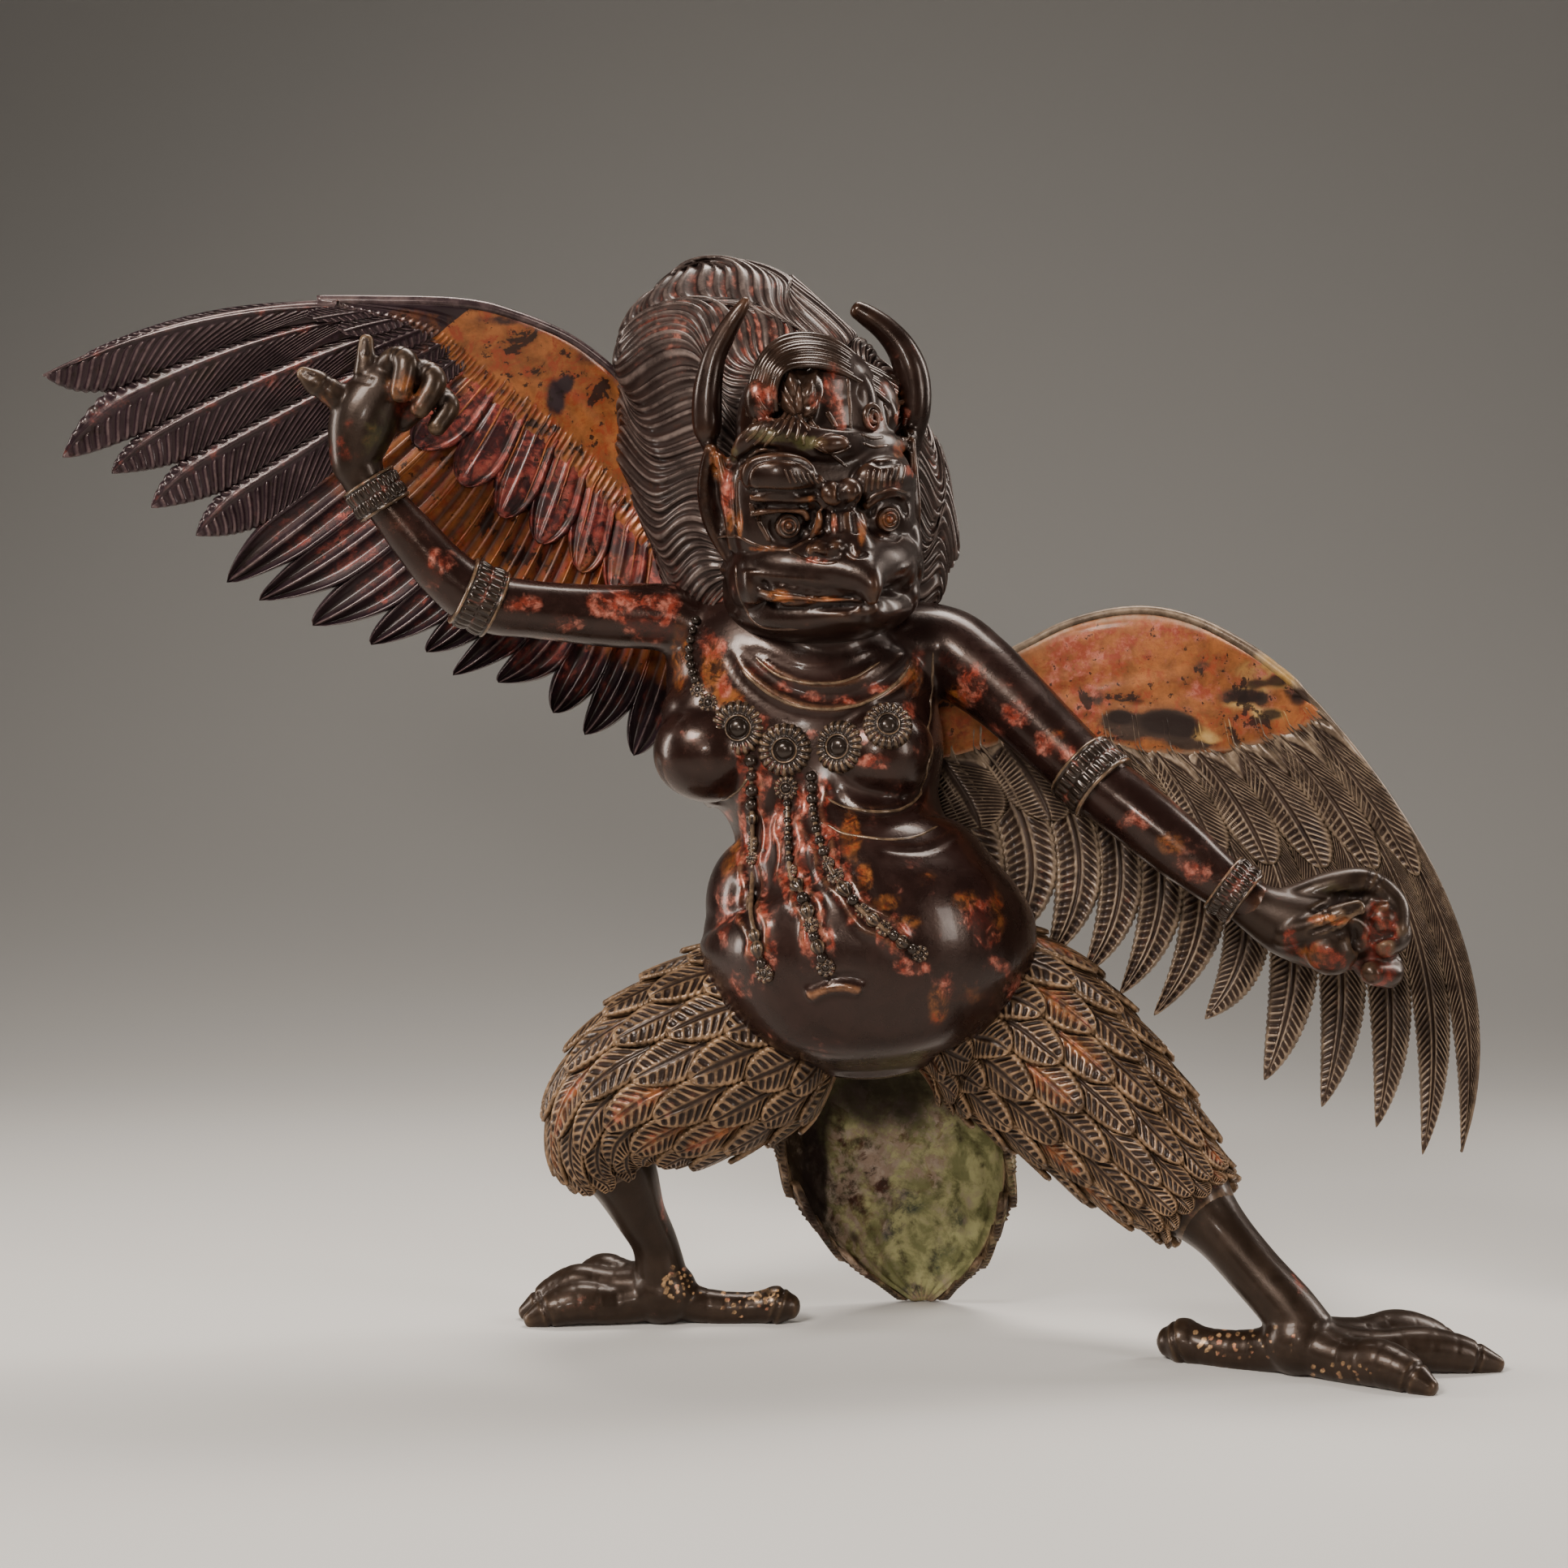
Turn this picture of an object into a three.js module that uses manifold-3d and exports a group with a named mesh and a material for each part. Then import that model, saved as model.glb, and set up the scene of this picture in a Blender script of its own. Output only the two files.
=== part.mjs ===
import * as THREE from "three";
import { mergeVertices } from "three/addons/utils/BufferGeometryUtils.js";
import Module from "manifold-3d";

// Cast bronze garuda, lacquered. One casting that stands on two bird feet and its tail.
// Lengths are millimetres. X runs to the viewer's right, Y away from the viewer, Z up.

// Driving sizes.
const HEIGHT = 427;
const WING_THICKNESS = 3.6;
const WING_EDGE = 7;
const FEATHER_THICKNESS = 3.4;
const TAIL_WALL = 3.2;

// The pose is written in shares of the height, which is 1017 of them, measured from
// a point on the table below the neck. MIDDLE moves the footprint's middle to the origin.
const SHARE = HEIGHT / 1017;
const MIDDLE_X = -26;
const MIDDLE_Y = 36;

const FRONT = new THREE.Vector3(0, -1, 0);
const UP = new THREE.Vector3(0, 0, 1);
const DOWN = new THREE.Vector3(0, 0, -1);

const wasm = await Module();
wasm.setup();

// A point of the pose as millimetres in the shared frame.
function at([x, y, z]) {
  return new THREE.Vector3(x - MIDDLE_X, y - MIDDLE_Y, z).multiplyScalar(SHARE);
}

// A closed geometry as a solid.
function solid(geometry) {
  geometry.deleteAttribute("normal");
  geometry.deleteAttribute("uv");
  const merged = mergeVertices(geometry, 1e-4);
  return new wasm.Manifold(new wasm.Mesh({
    numProp: 3,
    vertProperties: merged.attributes.position.array,
    triVerts: new Uint32Array(merged.index.array),
  }));
}

// Moves every vertex of a geometry to the point that reshape gives for it.
function reshaped(geometry, reshape) {
  const position = geometry.attributes.position;
  const vertex = new THREE.Vector3();
  for (let i = 0; i < position.count; i += 1) {
    const moved = reshape(vertex.fromBufferAttribute(position, i));
    position.setXYZ(i, moved.x, moved.y, moved.z);
  }
  return solid(geometry);
}

// A round form along a path. Each ring is [x, y, z, half width, half depth], and
// carve may swell it and slide it along the path, from its angle and place there.
function limb(rings, { sides = 10, steps = 10, front = FRONT, place = at, carve = null } = {}) {
  const path = new THREE.CatmullRomCurve3(rings.map(place));
  const girth = new THREE.SplineCurve(
    rings.map((ring) => new THREE.Vector2(ring[3], ring[4]).multiplyScalar(SHARE)),
  );
  return reshaped(new THREE.CylinderGeometry(1, 1, 1, sides, steps), (vertex) => {
    let along = vertex.y + 0.5;
    let swell = 1;
    if (carve) {
      [swell, along] = carve(Math.atan2(vertex.x, vertex.z), along);
    }
    const ahead = path.getTangent(along);
    const side = ahead.clone().cross(front).normalize();
    const face = side.clone().cross(ahead);
    const size = girth.getPoint(along).multiplyScalar(swell);
    return path.getPoint(along)
      .addScaledVector(side, vertex.x * size.x)
      .addScaledVector(face, vertex.z * size.y);
  });
}

// A plate that follows a surface given over u and v from 0 to 1.
function plate(surface, columns, rows, thickness) {
  const reach = 0.01;
  return reshaped(new THREE.BoxGeometry(1, 1, 1, columns, rows, 1), (vertex) => {
    const u = vertex.x + 0.5;
    const v = vertex.y + 0.5;
    const across = surface(u + reach, v).sub(surface(u - reach, v));
    const down = surface(u, v + reach).sub(surface(u, v - reach));
    const normal = across.cross(down).normalize();
    return surface(u, v).addScaledVector(normal, vertex.z * thickness);
  });
}

// An egg shape. The radii run along the three directions of its frame.
function blob(centre, radii, frame, wide = 12, high = 8) {
  return reshaped(new THREE.SphereGeometry(1, wide, high), (vertex) => {
    const point = centre.clone();
    frame.forEach((direction, i) => {
      point.addScaledVector(direction, vertex.getComponent(i) * radii[i] * SHARE);
    });
    return point;
  });
}

const WORLD = [new THREE.Vector3(1, 0, 0), new THREE.Vector3(0, 1, 0), new THREE.Vector3(0, 0, 1)];

// The head looks to the right and a little down, and leans to the left.
const HEAD_CENTRE = [26, 58, 748];
const HEAD_TURN = THREE.MathUtils.degToRad(22);
const HEAD_NOD = THREE.MathUtils.degToRad(4);
const HEAD_LEAN = THREE.MathUtils.degToRad(6);
const headPose = new THREE.Matrix4()
  .makeRotationZ(HEAD_TURN)
  .multiply(new THREE.Matrix4().makeRotationX(HEAD_NOD))
  .multiply(new THREE.Matrix4().makeRotationY(-HEAD_LEAN));
const HEAD = WORLD.map((direction) => direction.clone().applyMatrix4(headPose));
const HEAD_FRONT = HEAD[1].clone().negate();

// A point of the head, from [right of the face, ahead of it, up].
function onHead([right, ahead, up]) {
  return at(HEAD_CENTRE)
    .addScaledVector(HEAD[0], right * SHARE)
    .addScaledVector(HEAD[1], -ahead * SHARE)
    .addScaledVector(HEAD[2], up * SHARE);
}

// Both sides of a row of rings, the second mirrored across the middle of the face.
function bothSides(rings) {
  return [rings, rings.map(([right, ...rest]) => [-right, ...rest])];
}

const TORSO = [
  [82, 58, 265, 64, 62],
  [80, 56, 296, 119, 119],
  [78, 54, 340, 149, 144],
  [77, 54, 384, 156, 150],
  [72, 58, 422, 145, 138],
  [60, 66, 455, 120, 111],
  [52, 72, 489, 110, 95],
  [41, 76, 527, 117, 91],
  [26, 78, 564, 125, 91],
  [19, 80, 602, 129, 88],
  [20, 84, 640, 125, 80],
  [26, 88, 673, 95, 62],
];

// The front of the torso at a place across and a height.
function torsoFront(x, z, lift = 0) {
  let i = 0;
  while (i < TORSO.length - 2 && TORSO[i + 1][2] < z) {
    i += 1;
  }
  const t = (z - TORSO[i][2]) / (TORSO[i + 1][2] - TORSO[i][2]);
  const [cx, cy, , across, deep] = TORSO[i].map((low, k) => THREE.MathUtils.lerp(low, TORSO[i + 1][k], t));
  const side = Math.min(0.98, Math.abs(x - cx) / across);
  return [x, cy - deep * Math.sqrt(1 - side * side) - lift, z];
}

function torso() {
  const breasts = [[-70, 36, 546], [86, 16, 546]];
  return [
    limb(TORSO, { sides: 16, steps: TORSO.length - 1 }),
    limb([[25, 74, 599, 62, 58], [31, 64, 640, 62, 62], [35, 58, 702, 64, 68]], { sides: 10, steps: 2 }),
    ...breasts.map((centre) => blob(at(centre), [50, 46, 46], WORLD, 9, 6)),
    blob(at([80, 100, 287]), [80, 74, 46], WORLD, 10, 6),
  ];
}

function head() {
  const upperBeak = [
    [0, 10, -23, 87, 27], [0, 52, -25, 76, 26], [0, 87, -26, 52, 25],
    [0, 111, -33, 29, 21], [0, 128, -45, 13, 13], [0, 132, -60, 4, 5],
  ];
  const lowerBeak = [
    [0, 0, -64, 76, 33], [0, 45, -72, 64, 27], [0, 82, -68, 39, 14], [0, 107, -63, 12, 6],
  ];
  const brow = [[19, 76, 37, 8, 7], [39, 78, 52, 13, 11], [64, 68, 54, 14, 12], [87, 45, 39, 7, 7]];
  const ear = [[93, 4, -35, 6, 9], [98, 2, 0, 9, 16], [99, 2, 37, 8, 15], [97, 2, 66, 4, 6]];
  const nose = [[0, 70, 27, 11, 9], [0, 84, 2, 15, 12], [0, 97, -19, 21, 12]];
  const across = { front: HEAD[2], place: onHead };
  const upright = { front: HEAD_FRONT, place: onHead };
  return [
    blob(onHead([0, 0, 2]), [95, 82, 122], HEAD, 10, 7),
    limb(upperBeak, { ...across, sides: 10, steps: 5 }),
    limb(lowerBeak, { ...across, sides: 8, steps: 3 }),
    limb(nose, { ...upright, sides: 6, steps: 3 }),
    ...bothSides(brow).map((rings) => limb(rings, { ...across, sides: 5, steps: 3 })),
    ...bothSides(ear).map((rings) => limb(rings, { ...upright, sides: 5, steps: 3 })),
    ...[-47, 47].map((right) => blob(onHead([right, 60, 10]), [14, 13, 13], HEAD, 8, 5)),
    ...[-12, 12].map((right) => blob(onHead([right, 70, 38]), [11, 10, 11], HEAD, 6, 4)),
    ...[-16, 16].map((right) => blob(onHead([right, 88, -10]), [10, 9, 9], HEAD, 6, 4)),
  ];
}

// The crown is a cap under a rolled arch, with a leaf in its middle, a scroll at each
// side of the leaf and a flat jewel over the brow.
function crown() {
  const arch = [
    [-93, 35, 62, 8, 8], [-89, 52, 107, 9, 9], [-72, 47, 144, 10, 10], [-31, 43, 171, 11, 10],
    [14, 39, 173, 11, 10], [58, 35, 152, 10, 10], [87, 27, 115, 9, 9], [95, 14, 68, 8, 8],
  ];
  const leaf = [[-19, 74, 87, 9, 10], [-23, 72, 109, 21, 12], [-29, 62, 136, 15, 12], [-33, 47, 165, 3, 8]];
  const upright = { front: HEAD_FRONT, place: onHead };
  return [
    blob(onHead([-4, 0, 82]), [91, 72, 87], HEAD, 10, 6),
    limb(arch, { front: HEAD[2], place: onHead, sides: 5, steps: 10 }),
    limb(leaf, { ...upright, sides: 6, steps: 3 }),
    ...[-56, 38].map((right) => blob(onHead([right, 60, 94]), [14, 12, 16], HEAD, 6, 4)),
    blob(onHead([-4, 76, 76]), [21, 12, 11], HEAD, 6, 4),
  ];
}

function horns() {
  const left = [
    [-61, 18, 738, 17, 17], [-69, 14, 790, 16, 16], [-78, 10, 836, 15, 15],
    [-75, 6, 887, 13, 13], [-59, 2, 931, 10, 10], [-33, 0, 966, 4, 4],
  ];
  const right = [
    [107, 86, 748, 17, 17], [124, 84, 790, 17, 17], [129, 84, 839, 17, 17], [128, 82, 879, 16, 16],
    [117, 80, 913, 14, 14], [95, 78, 943, 12, 12], [60, 76, 961, 6, 6],
  ];
  return [left, right].map((rings) => limb(rings, { sides: 7, steps: 5 }));
}

// The mane stands up round the head. Three loops shape it: along the hairline, round
// its widest outline and round its back, and locks run from the first to the last.
function mane() {
  const loops = [
    [
      [-46, 56, 663], [-60, 36, 723], [-60, 38, 805], [-37, 58, 887], [10, 70, 926],
      [49, 72, 923], [91, 78, 903], [117, 82, 856], [132, 88, 774], [117, 86, 671], [35, 74, 640],
    ],
    [
      [-74, 100, 640], [-128, 108, 747], [-157, 130, 867], [-141, 144, 964], [-74, 150, 1010],
      [0, 148, 1000], [47, 144, 933], [107, 136, 887], [153, 128, 813], [147, 120, 702], [34, 140, 612],
    ],
    [
      [-51, 164, 669], [-103, 188, 764], [-123, 204, 877], [-111, 212, 942], [-62, 214, 977],
      [0, 212, 959], [41, 206, 902], [86, 200, 856], [119, 190, 795], [107, 174, 706], [27, 172, 603],
    ],
  ].map((loop) => new THREE.CatmullRomCurve3(loop.map(at), true));
  const inner = at([31, 70, 795]);
  const back = at([5, 232, 805]);
  const locks = 14;
  const depth = 4.5 * SHARE;
  const middle = at([21, 140, 805]);
  return [
    reshaped(new THREE.SphereGeometry(1, locks * 2, 6), (vertex) => {
      const fromFront = Math.acos(THREE.MathUtils.clamp(-vertex.y, -1, 1)) / Math.PI;
      const around = (Math.atan2(vertex.x, vertex.z) / (2 * Math.PI) + 1) % 1;
      const lock = new THREE.CatmullRomCurve3(
        [inner, ...loops.map((loop) => loop.getPoint(around)), back],
      );
      const point = lock.getPoint(fromFront);
      const ridge = Math.round(around * locks * 2) % 2 === 0 ? 1 : -1;
      const outward = point.clone().sub(middle).normalize();
      return point.addScaledVector(outward, ridge * depth * Math.sin(Math.PI * fromFront));
    }),
  ];
}

// A bracelet is a band with a beaded outer edge, square to the limb that it rings.
function bracelet(centre, ahead, radius, width) {
  const beads = 7;
  const rimFrom = 0.4;
  const rimGirth = 0.94;
  const beadGirth = 1.08;
  const axis = new THREE.Vector3(...ahead).normalize();
  const turn = new THREE.Quaternion().setFromUnitVectors(new THREE.Vector3(0, 1, 0), axis);
  return reshaped(new THREE.CylinderGeometry(1, 1, 1, beads * 2, 2), (vertex) => {
    const bead = Math.round((Math.atan2(vertex.x, vertex.z) / Math.PI) * beads) % 2 === 0;
    const rim = Math.abs(vertex.y) > rimFrom ? rimGirth : 1;
    const swell = radius * rim * (bead ? beadGirth : 1);
    return new THREE.Vector3(vertex.x * swell, vertex.y * width, vertex.z * swell)
      .multiplyScalar(SHARE)
      .applyQuaternion(turn)
      .add(at(centre));
  });
}

const LEFT_ARM = [
  [0, 86, 622, 45, 45], [-73, 78, 657, 33, 37], [-111, 74, 670, 32, 34], [-171, 66, 672, 29, 31],
  [-229, 52, 677, 27, 29], [-274, 40, 684, 28, 29], [-309, 33, 708, 26, 27],
  [-340, 27, 743, 23, 24], [-362, 22, 770, 20, 21], [-382, 19, 795, 19, 20],
];
const RIGHT_ARM = [
  [72, 88, 634, 56, 56], [144, 82, 640, 43, 47], [177, 66, 622, 39, 42], [208, 48, 595, 35, 38],
  [245, 26, 558, 32, 34], [282, 6, 522, 30, 32], [319, -7, 492, 30, 31], [355, -16, 462, 29, 30],
  [391, -26, 432, 24, 25], [424, -32, 410, 21, 23],
];

function arms() {
  return [
    limb(LEFT_ARM, { sides: 8, steps: 9 }),
    limb(RIGHT_ARM, { sides: 8, steps: 8 }),
    bracelet([-281, 39, 688], [-1, -0.25, 0.45], 34, 35),
    bracelet([-373, 20, 782], [-0.62, -0.1, 1], 28, 31),
    bracelet([280, 7, 524], [1, -0.5, -0.95], 37, 35),
    bracelet([405, -28, 423], [1, -0.25, -0.75], 30, 27),
  ];
}

// The left hand is raised with its first finger up and its thumb out. The right hand
// is a fist, held with the thumb across the front and a hollow at its outer end.
function hands() {
  const leftPalm = [
    [-380, 20, 785, 20, 21], [-391, 18, 817, 25, 24], [-383, 16, 852, 32, 26], [-362, 14, 885, 25, 21],
  ];
  const leftFingers = [
    [[-393, 16, 826, 15, 15], [-388, 12, 865, 12, 13], [-382, 10, 894, 11, 11], [-381, 10, 922, 5, 5]],
    [[-385, 18, 852, 17, 14], [-408, 8, 871, 14, 12], [-426, 2, 883, 12, 10], [-439, 0, 892, 5, 5]],
    [[-373, 14, 859, 14, 12], [-358, 8, 898, 14, 13], [-338, -8, 888, 12, 12], [-350, -8, 857, 9, 9]],
    [[-360, 20, 857, 14, 12], [-340, 14, 892, 14, 13], [-317, 2, 877, 12, 12], [-334, 0, 852, 9, 9]],
  ];
  const rightPalm = [
    [420, -32, 410, 21, 23], [451, -34, 395, 31, 32], [488, -32, 387, 43, 37], [519, -26, 385, 37, 29],
  ];
  const rightFingers = [
    [[453, -32, 418, 15, 18], [496, -38, 441, 14, 16], [536, -40, 445, 13, 14], [560, -46, 420, 12, 13], [552, -58, 395, 8, 9]],
    [[504, -16, 391, 15, 16], [556, -16, 404, 15, 15], [564, -32, 381, 13, 13], [546, -52, 369, 9, 9]],
    [[498, -18, 365, 15, 15], [548, -16, 362, 15, 14], [554, -34, 342, 12, 12], [529, -52, 344, 9, 9]],
    [[453, -50, 389, 15, 15], [482, -66, 389, 14, 14], [509, -74, 401, 12, 12], [530, -72, 412, 7, 7]],
  ];
  return [
    limb(leftPalm, { sides: 7, steps: 3 }),
    limb(rightPalm, { sides: 7, steps: 3, front: UP }),
    ...[...leftFingers, ...rightFingers].map((rings) => limb(rings, { sides: 5, steps: rings.length - 1 })),
  ];
}

// Rows of overlapping feathers, staggered row by row. Each swells to its tip.
function feathered(rings, around, rows) {
  const rootGirth = 0.95;
  const tipGirth = 1.07;
  const tipAt = 0.92;
  const notchAt = 0.52;
  return limb(rings, {
    sides: around * 2,
    steps: rows * 2,
    carve: (angle, along) => {
      const ring = Math.round(along * rows * 2);
      const row = Math.floor(ring / 2);
      if (ring === 0 || ring === rows * 2) {
        return [1, along];
      }
      if (ring % 2 === 0) {
        return [rootGirth, along];
      }
      const column = Math.round((angle / Math.PI) * around);
      const isTip = (column + row) % 2 === 0;
      return [isTip ? tipGirth : 1, (row + (isTip ? tipAt : notchAt)) / rows];
    },
  });
}

function legs() {
  const leftThigh = [
    [41, 92, 301, 45, 51], [-4, 88, 285, 82, 93], [-50, 82, 269, 89, 94], [-95, 75, 248, 85, 88],
    [-133, 73, 229, 74, 78], [-159, 78, 206, 59, 63], [-168, 87, 179, 46, 50], [-160, 95, 161, 37, 41],
  ];
  const leftShin = [
    [-165, 91, 173, 41, 45], [-151, 101, 144, 34, 38], [-137, 115, 108, 26, 29],
    [-123, 130, 76, 22, 25], [-116, 135, 42, 26, 28],
  ];
  const rightThigh = [
    [115, 92, 309, 45, 51], [162, 88, 304, 78, 91], [208, 80, 288, 85, 91], [251, 62, 255, 81, 84],
    [294, 37, 216, 71, 74], [332, 10, 178, 58, 59], [367, -11, 144, 41, 44], [380, -19, 131, 33, 36],
  ];
  const rightShin = [
    [371, -13, 140, 36, 40], [394, -28, 115, 27, 31], [420, -47, 85, 25, 28],
    [446, -65, 56, 26, 29], [460, -74, 34, 30, 32],
  ];
  return [
    feathered(leftThigh, 7, 6),
    limb(leftShin, { sides: 8, steps: 4 }),
    feathered(rightThigh, 7, 7),
    limb(rightShin, { sides: 8, steps: 4 }),
  ];
}

// A bird's foot: three toes fan out from the ankle, arch and end in claws, and a hind
// toe reaches back and ends in a ball. The undersides lie flat on the table.
function foot([x, y], toes, hind) {
  const toe = ([reach, degrees, girth, rise], profile) => {
    const angle = THREE.MathUtils.degToRad(degrees);
    return limb(profile.map(([share, up, size]) => [
      x + reach * share * Math.cos(angle),
      y + reach * share * Math.sin(angle),
      up * (1 + rise * Math.sin(Math.PI * share)),
      girth * size,
      girth * size,
    ]), { sides: 5, steps: profile.length - 1, front: DOWN });
  };
  const arched = [[0, 28, 1.4], [0.34, 15, 1], [0.6, 22, 1.15], [0.82, 15, 0.9], [1, 6, 0.45]];
  const balled = [[0, 28, 1.35], [0.4, 14, 0.95], [0.74, 14, 0.85], [0.9, 16, 1.05], [1, 16, 0.7]];
  return [
    ...toes.map((sizes) => toe(sizes, arched)),
    toe(hind, balled),
    blob(at([x, y, 28]), [34, 32, 32], WORLD, 7, 4),
  ];
}

function feet() {
  return [
    ...foot([-116, 138], [[126, 190, 19, 0], [132, 175, 19, 0.7], [108, 152, 19, 1]], [122, -2, 18, 0]),
    ...foot([456, -76], [[128, -40, 20, 0], [176, 2, 19, 0], [176, 27, 19, 0.3]], [122, 152, 21, 0]),
  ];
}

// A wing is one ribbed shell. Its coverts lie between the top and the root curve. Each
// long feather runs from the root curve through the bend curve to its tip, with a ridge
// down its middle, and a notch parts it from the next near the tips.
function wing({ top, root, bend, tips }) {
  const columns = tips.length * 2;
  const rootAt = 0.24;
  const rows = [0, 0.2, rootAt, 0.5, 0.76, 1];
  const notch = 47 * SHARE;
  const edgeNotch = 0.2;
  const notchFade = 0.5;
  const groove = 0.5;
  const edgeFade = 0.6;
  const nudge = 0.02;
  const topCurve = new THREE.CatmullRomCurve3(top.map(at));
  const rootCurve = new THREE.CatmullRomCurve3(root.map(at));
  const bendCurve = new THREE.CatmullRomCurve3(bend.map(at));
  const ends = tips.map(at);
  const lines = [];
  for (let column = 0; column <= columns; column += 1) {
    const share = column / columns;
    const start = rootCurve.getPoint(share);
    const middle = bendCurve.getPoint(share);
    const before = ends[Math.max(0, Math.ceil(column / 2) - 1)];
    const after = ends[Math.min(ends.length - 1, Math.floor(column / 2))];
    const end = before.clone().lerp(after, 0.5);
    if (column % 2 === 0) {
      const depth = notch * (column === 0 ? edgeNotch : 1 - notchFade * share);
      end.addScaledVector(middle.clone().sub(end).normalize(), depth);
    }
    const pull = middle.multiplyScalar(2).sub(start.clone().lerp(end, 0.5));
    lines.push(new THREE.QuadraticBezierCurve3(start, pull, end));
  }
  const row = (v) => rows[Math.round(v * (rows.length - 1))];
  const spot = (column, v) => {
    const line = lines[column];
    if (v < rootAt) {
      return topCurve.getPoint(column / columns).lerp(line.v0, v / rootAt);
    }
    return line.getPoint((v - rootAt) / (1 - rootAt));
  };
  const normals = new Map();
  return reshaped(new THREE.BoxGeometry(1, 1, 1, columns, rows.length - 1, 1), (vertex) => {
    const column = Math.round((vertex.x + 0.5) * columns);
    const v = row(vertex.y + 0.5);
    const key = `${column} ${v}`;
    if (!normals.has(key)) {
      const near = THREE.MathUtils.clamp(column, 1, columns - 1);
      const across = spot(near + 1, v).sub(spot(near - 1, v));
      const down = spot(near, Math.min(v + nudge, 1)).sub(spot(near, Math.max(v - nudge, 0)));
      normals.set(key, across.cross(down).normalize());
    }
    const ridge = column % 2 === 1 ? 1 : groove;
    let wall = v < rootAt ? WING_THICKNESS : FEATHER_THICKNESS * ridge;
    if (v === 0 || column === 0) {
      wall = WING_EDGE * (1 - edgeFade * v);
    }
    return spot(column, v).addScaledVector(normals.get(key), vertex.z * wall);
  });
}

function wings() {
  const left = {
    top: [
      [-432, 66, 965], [-308, 75, 964], [-249, 95, 953], [-193, 125, 929], [-141, 150, 882],
      [-82, 154, 795], [-31, 136, 692],
    ],
    root: [
      [-422, 65, 963], [-339, 80, 941], [-298, 110, 901], [-247, 136, 856], [-190, 152, 803],
      [-132, 158, 738], [-41, 142, 651],
    ],
    bend: [
      [-561, 71, 950], [-494, 92, 873], [-411, 116, 803], [-319, 136, 731], [-236, 148, 684],
      [-154, 154, 634], [-67, 146, 584],
    ],
    tips: [
      [-693, 84, 897], [-678, 94, 821], [-633, 100, 806], [-597, 106, 774], [-556, 112, 748],
      [-528, 118, 704], [-498, 122, 687], [-448, 128, 663], [-393, 132, 645], [-341, 136, 638],
      [-316, 138, 616], [-273, 142, 609], [-221, 146, 580], [-191, 148, 559], [-144, 148, 539],
      [-103, 146, 521],
    ],
  };
  const right = {
    top: [
      [476, 86, 610], [439, 102, 640], [389, 124, 668], [336, 138, 678], [274, 146, 666],
      [206, 146, 633], [113, 130, 599],
    ],
    root: [
      [504, 80, 584], [465, 100, 563], [411, 122, 548], [352, 136, 546], [294, 144, 556],
      [206, 144, 553], [113, 130, 527],
    ],
    bend: [
      [626, 38, 373], [568, 56, 387], [494, 84, 394], [415, 110, 409], [339, 128, 430],
      [258, 134, 450], [154, 130, 445],
    ],
    tips: [
      [621, 24, 180], [586, 28, 176], [545, 36, 200], [497, 48, 217], [446, 62, 240],
      [394, 84, 294], [348, 98, 296], [317, 108, 315], [284, 116, 333], [250, 122, 348],
      [211, 124, 360], [170, 124, 373],
    ],
  };
  return [left, right].map(wing);
}

// The tail is a hollow shell, open to the front, that narrows to a tip on the table.
function tail() {
  const rings = [
    [86, 120, 313, 64, 41], [92, 144, 253, 98, 57], [100, 153, 182, 112, 65],
    [111, 159, 113, 91, 61], [127, 184, 49, 52, 38], [137, 225, -1, 8, 8],
  ];
  const middle = new THREE.CatmullRomCurve3(rings.map(at));
  const girth = new THREE.SplineCurve(
    rings.map(([, , , across, deep]) => new THREE.Vector2(across, deep).multiplyScalar(SHARE)),
  );
  const rows = 8;
  const spread = (v) => THREE.MathUtils.degToRad(Math.round(v * rows) % 2 === 0 ? 80 : 90);
  const shell = (u, v) => {
    const along = THREE.MathUtils.clamp(v, 0, 1);
    const angle = spread(along) * (2 * u - 1);
    const size = girth.getPoint(along);
    return middle.getPoint(along).add(
      new THREE.Vector3(Math.sin(angle) * size.x, Math.cos(angle) * size.y, 0),
    );
  };
  return [plate(shell, 6, rows, TAIL_WALL)];
}

// The chest carries five ribbed rosettes and three strings of beads with leaf drops.
function jewellery() {
  const rosettes = [[-44, 564, 23], [0, 550, 23], [53, 550, 23], [97, 560, 23], [6, 514, 15]];
  const strands = [
    [[-29, 537], [-28, 475], [-29, 414], [-19, 353]],
    [[5, 501], [9, 429], [35, 356]],
    [[27, 532], [35, 461], [68, 411], [111, 377]],
  ];
  const beads = 8;
  const beadGirth = 1.2;
  const stringGirth = 0.75;
  const parts = rosettes.map(([x, z, radius]) => {
    const [, y] = torsoFront(x, z);
    const knob = radius * 0.4;
    const rings = [[x, y + 10, z, radius, radius], [x, y - 5, z, radius, radius], [x, y - 11, z, knob, knob]];
    return limb(rings, { sides: 8, steps: 2, front: UP });
  });
  const beaded = (rings, dropSwell) => limb(rings, {
    sides: 4,
    steps: beads,
    carve: (angle, along) => {
      const isBead = Math.round(along * beads) % 2 === 1;
      return [isBead ? beadGirth + along * dropSwell : stringGirth, along];
    },
  });
  strands.forEach((strand) => {
    const line = new THREE.SplineCurve(strand.map(([x, z]) => new THREE.Vector2(x, z)));
    const rings = line.getPoints(beads).map(({ x, y }) => [...torsoFront(x, y, 1), 7, 6]);
    parts.push(beaded(rings, 0.5));
  });
  const cord = [[-64, 108, 673], [-80, 46, 656], [-86, 34, 625], [-76, 24, 591], [-51, 14, 570]];
  parts.push(beaded(cord.map((point) => [...point, 8, 8]), 0));
  return parts;
}

// What lies under the table's surface, so that the soles and the tail tip are flat.
function belowTable() {
  const slab = new THREE.BoxGeometry(2 * HEIGHT, 2 * HEIGHT, HEIGHT);
  slab.translate(0, 0, -HEIGHT / 2);
  return solid(slab);
}

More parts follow.
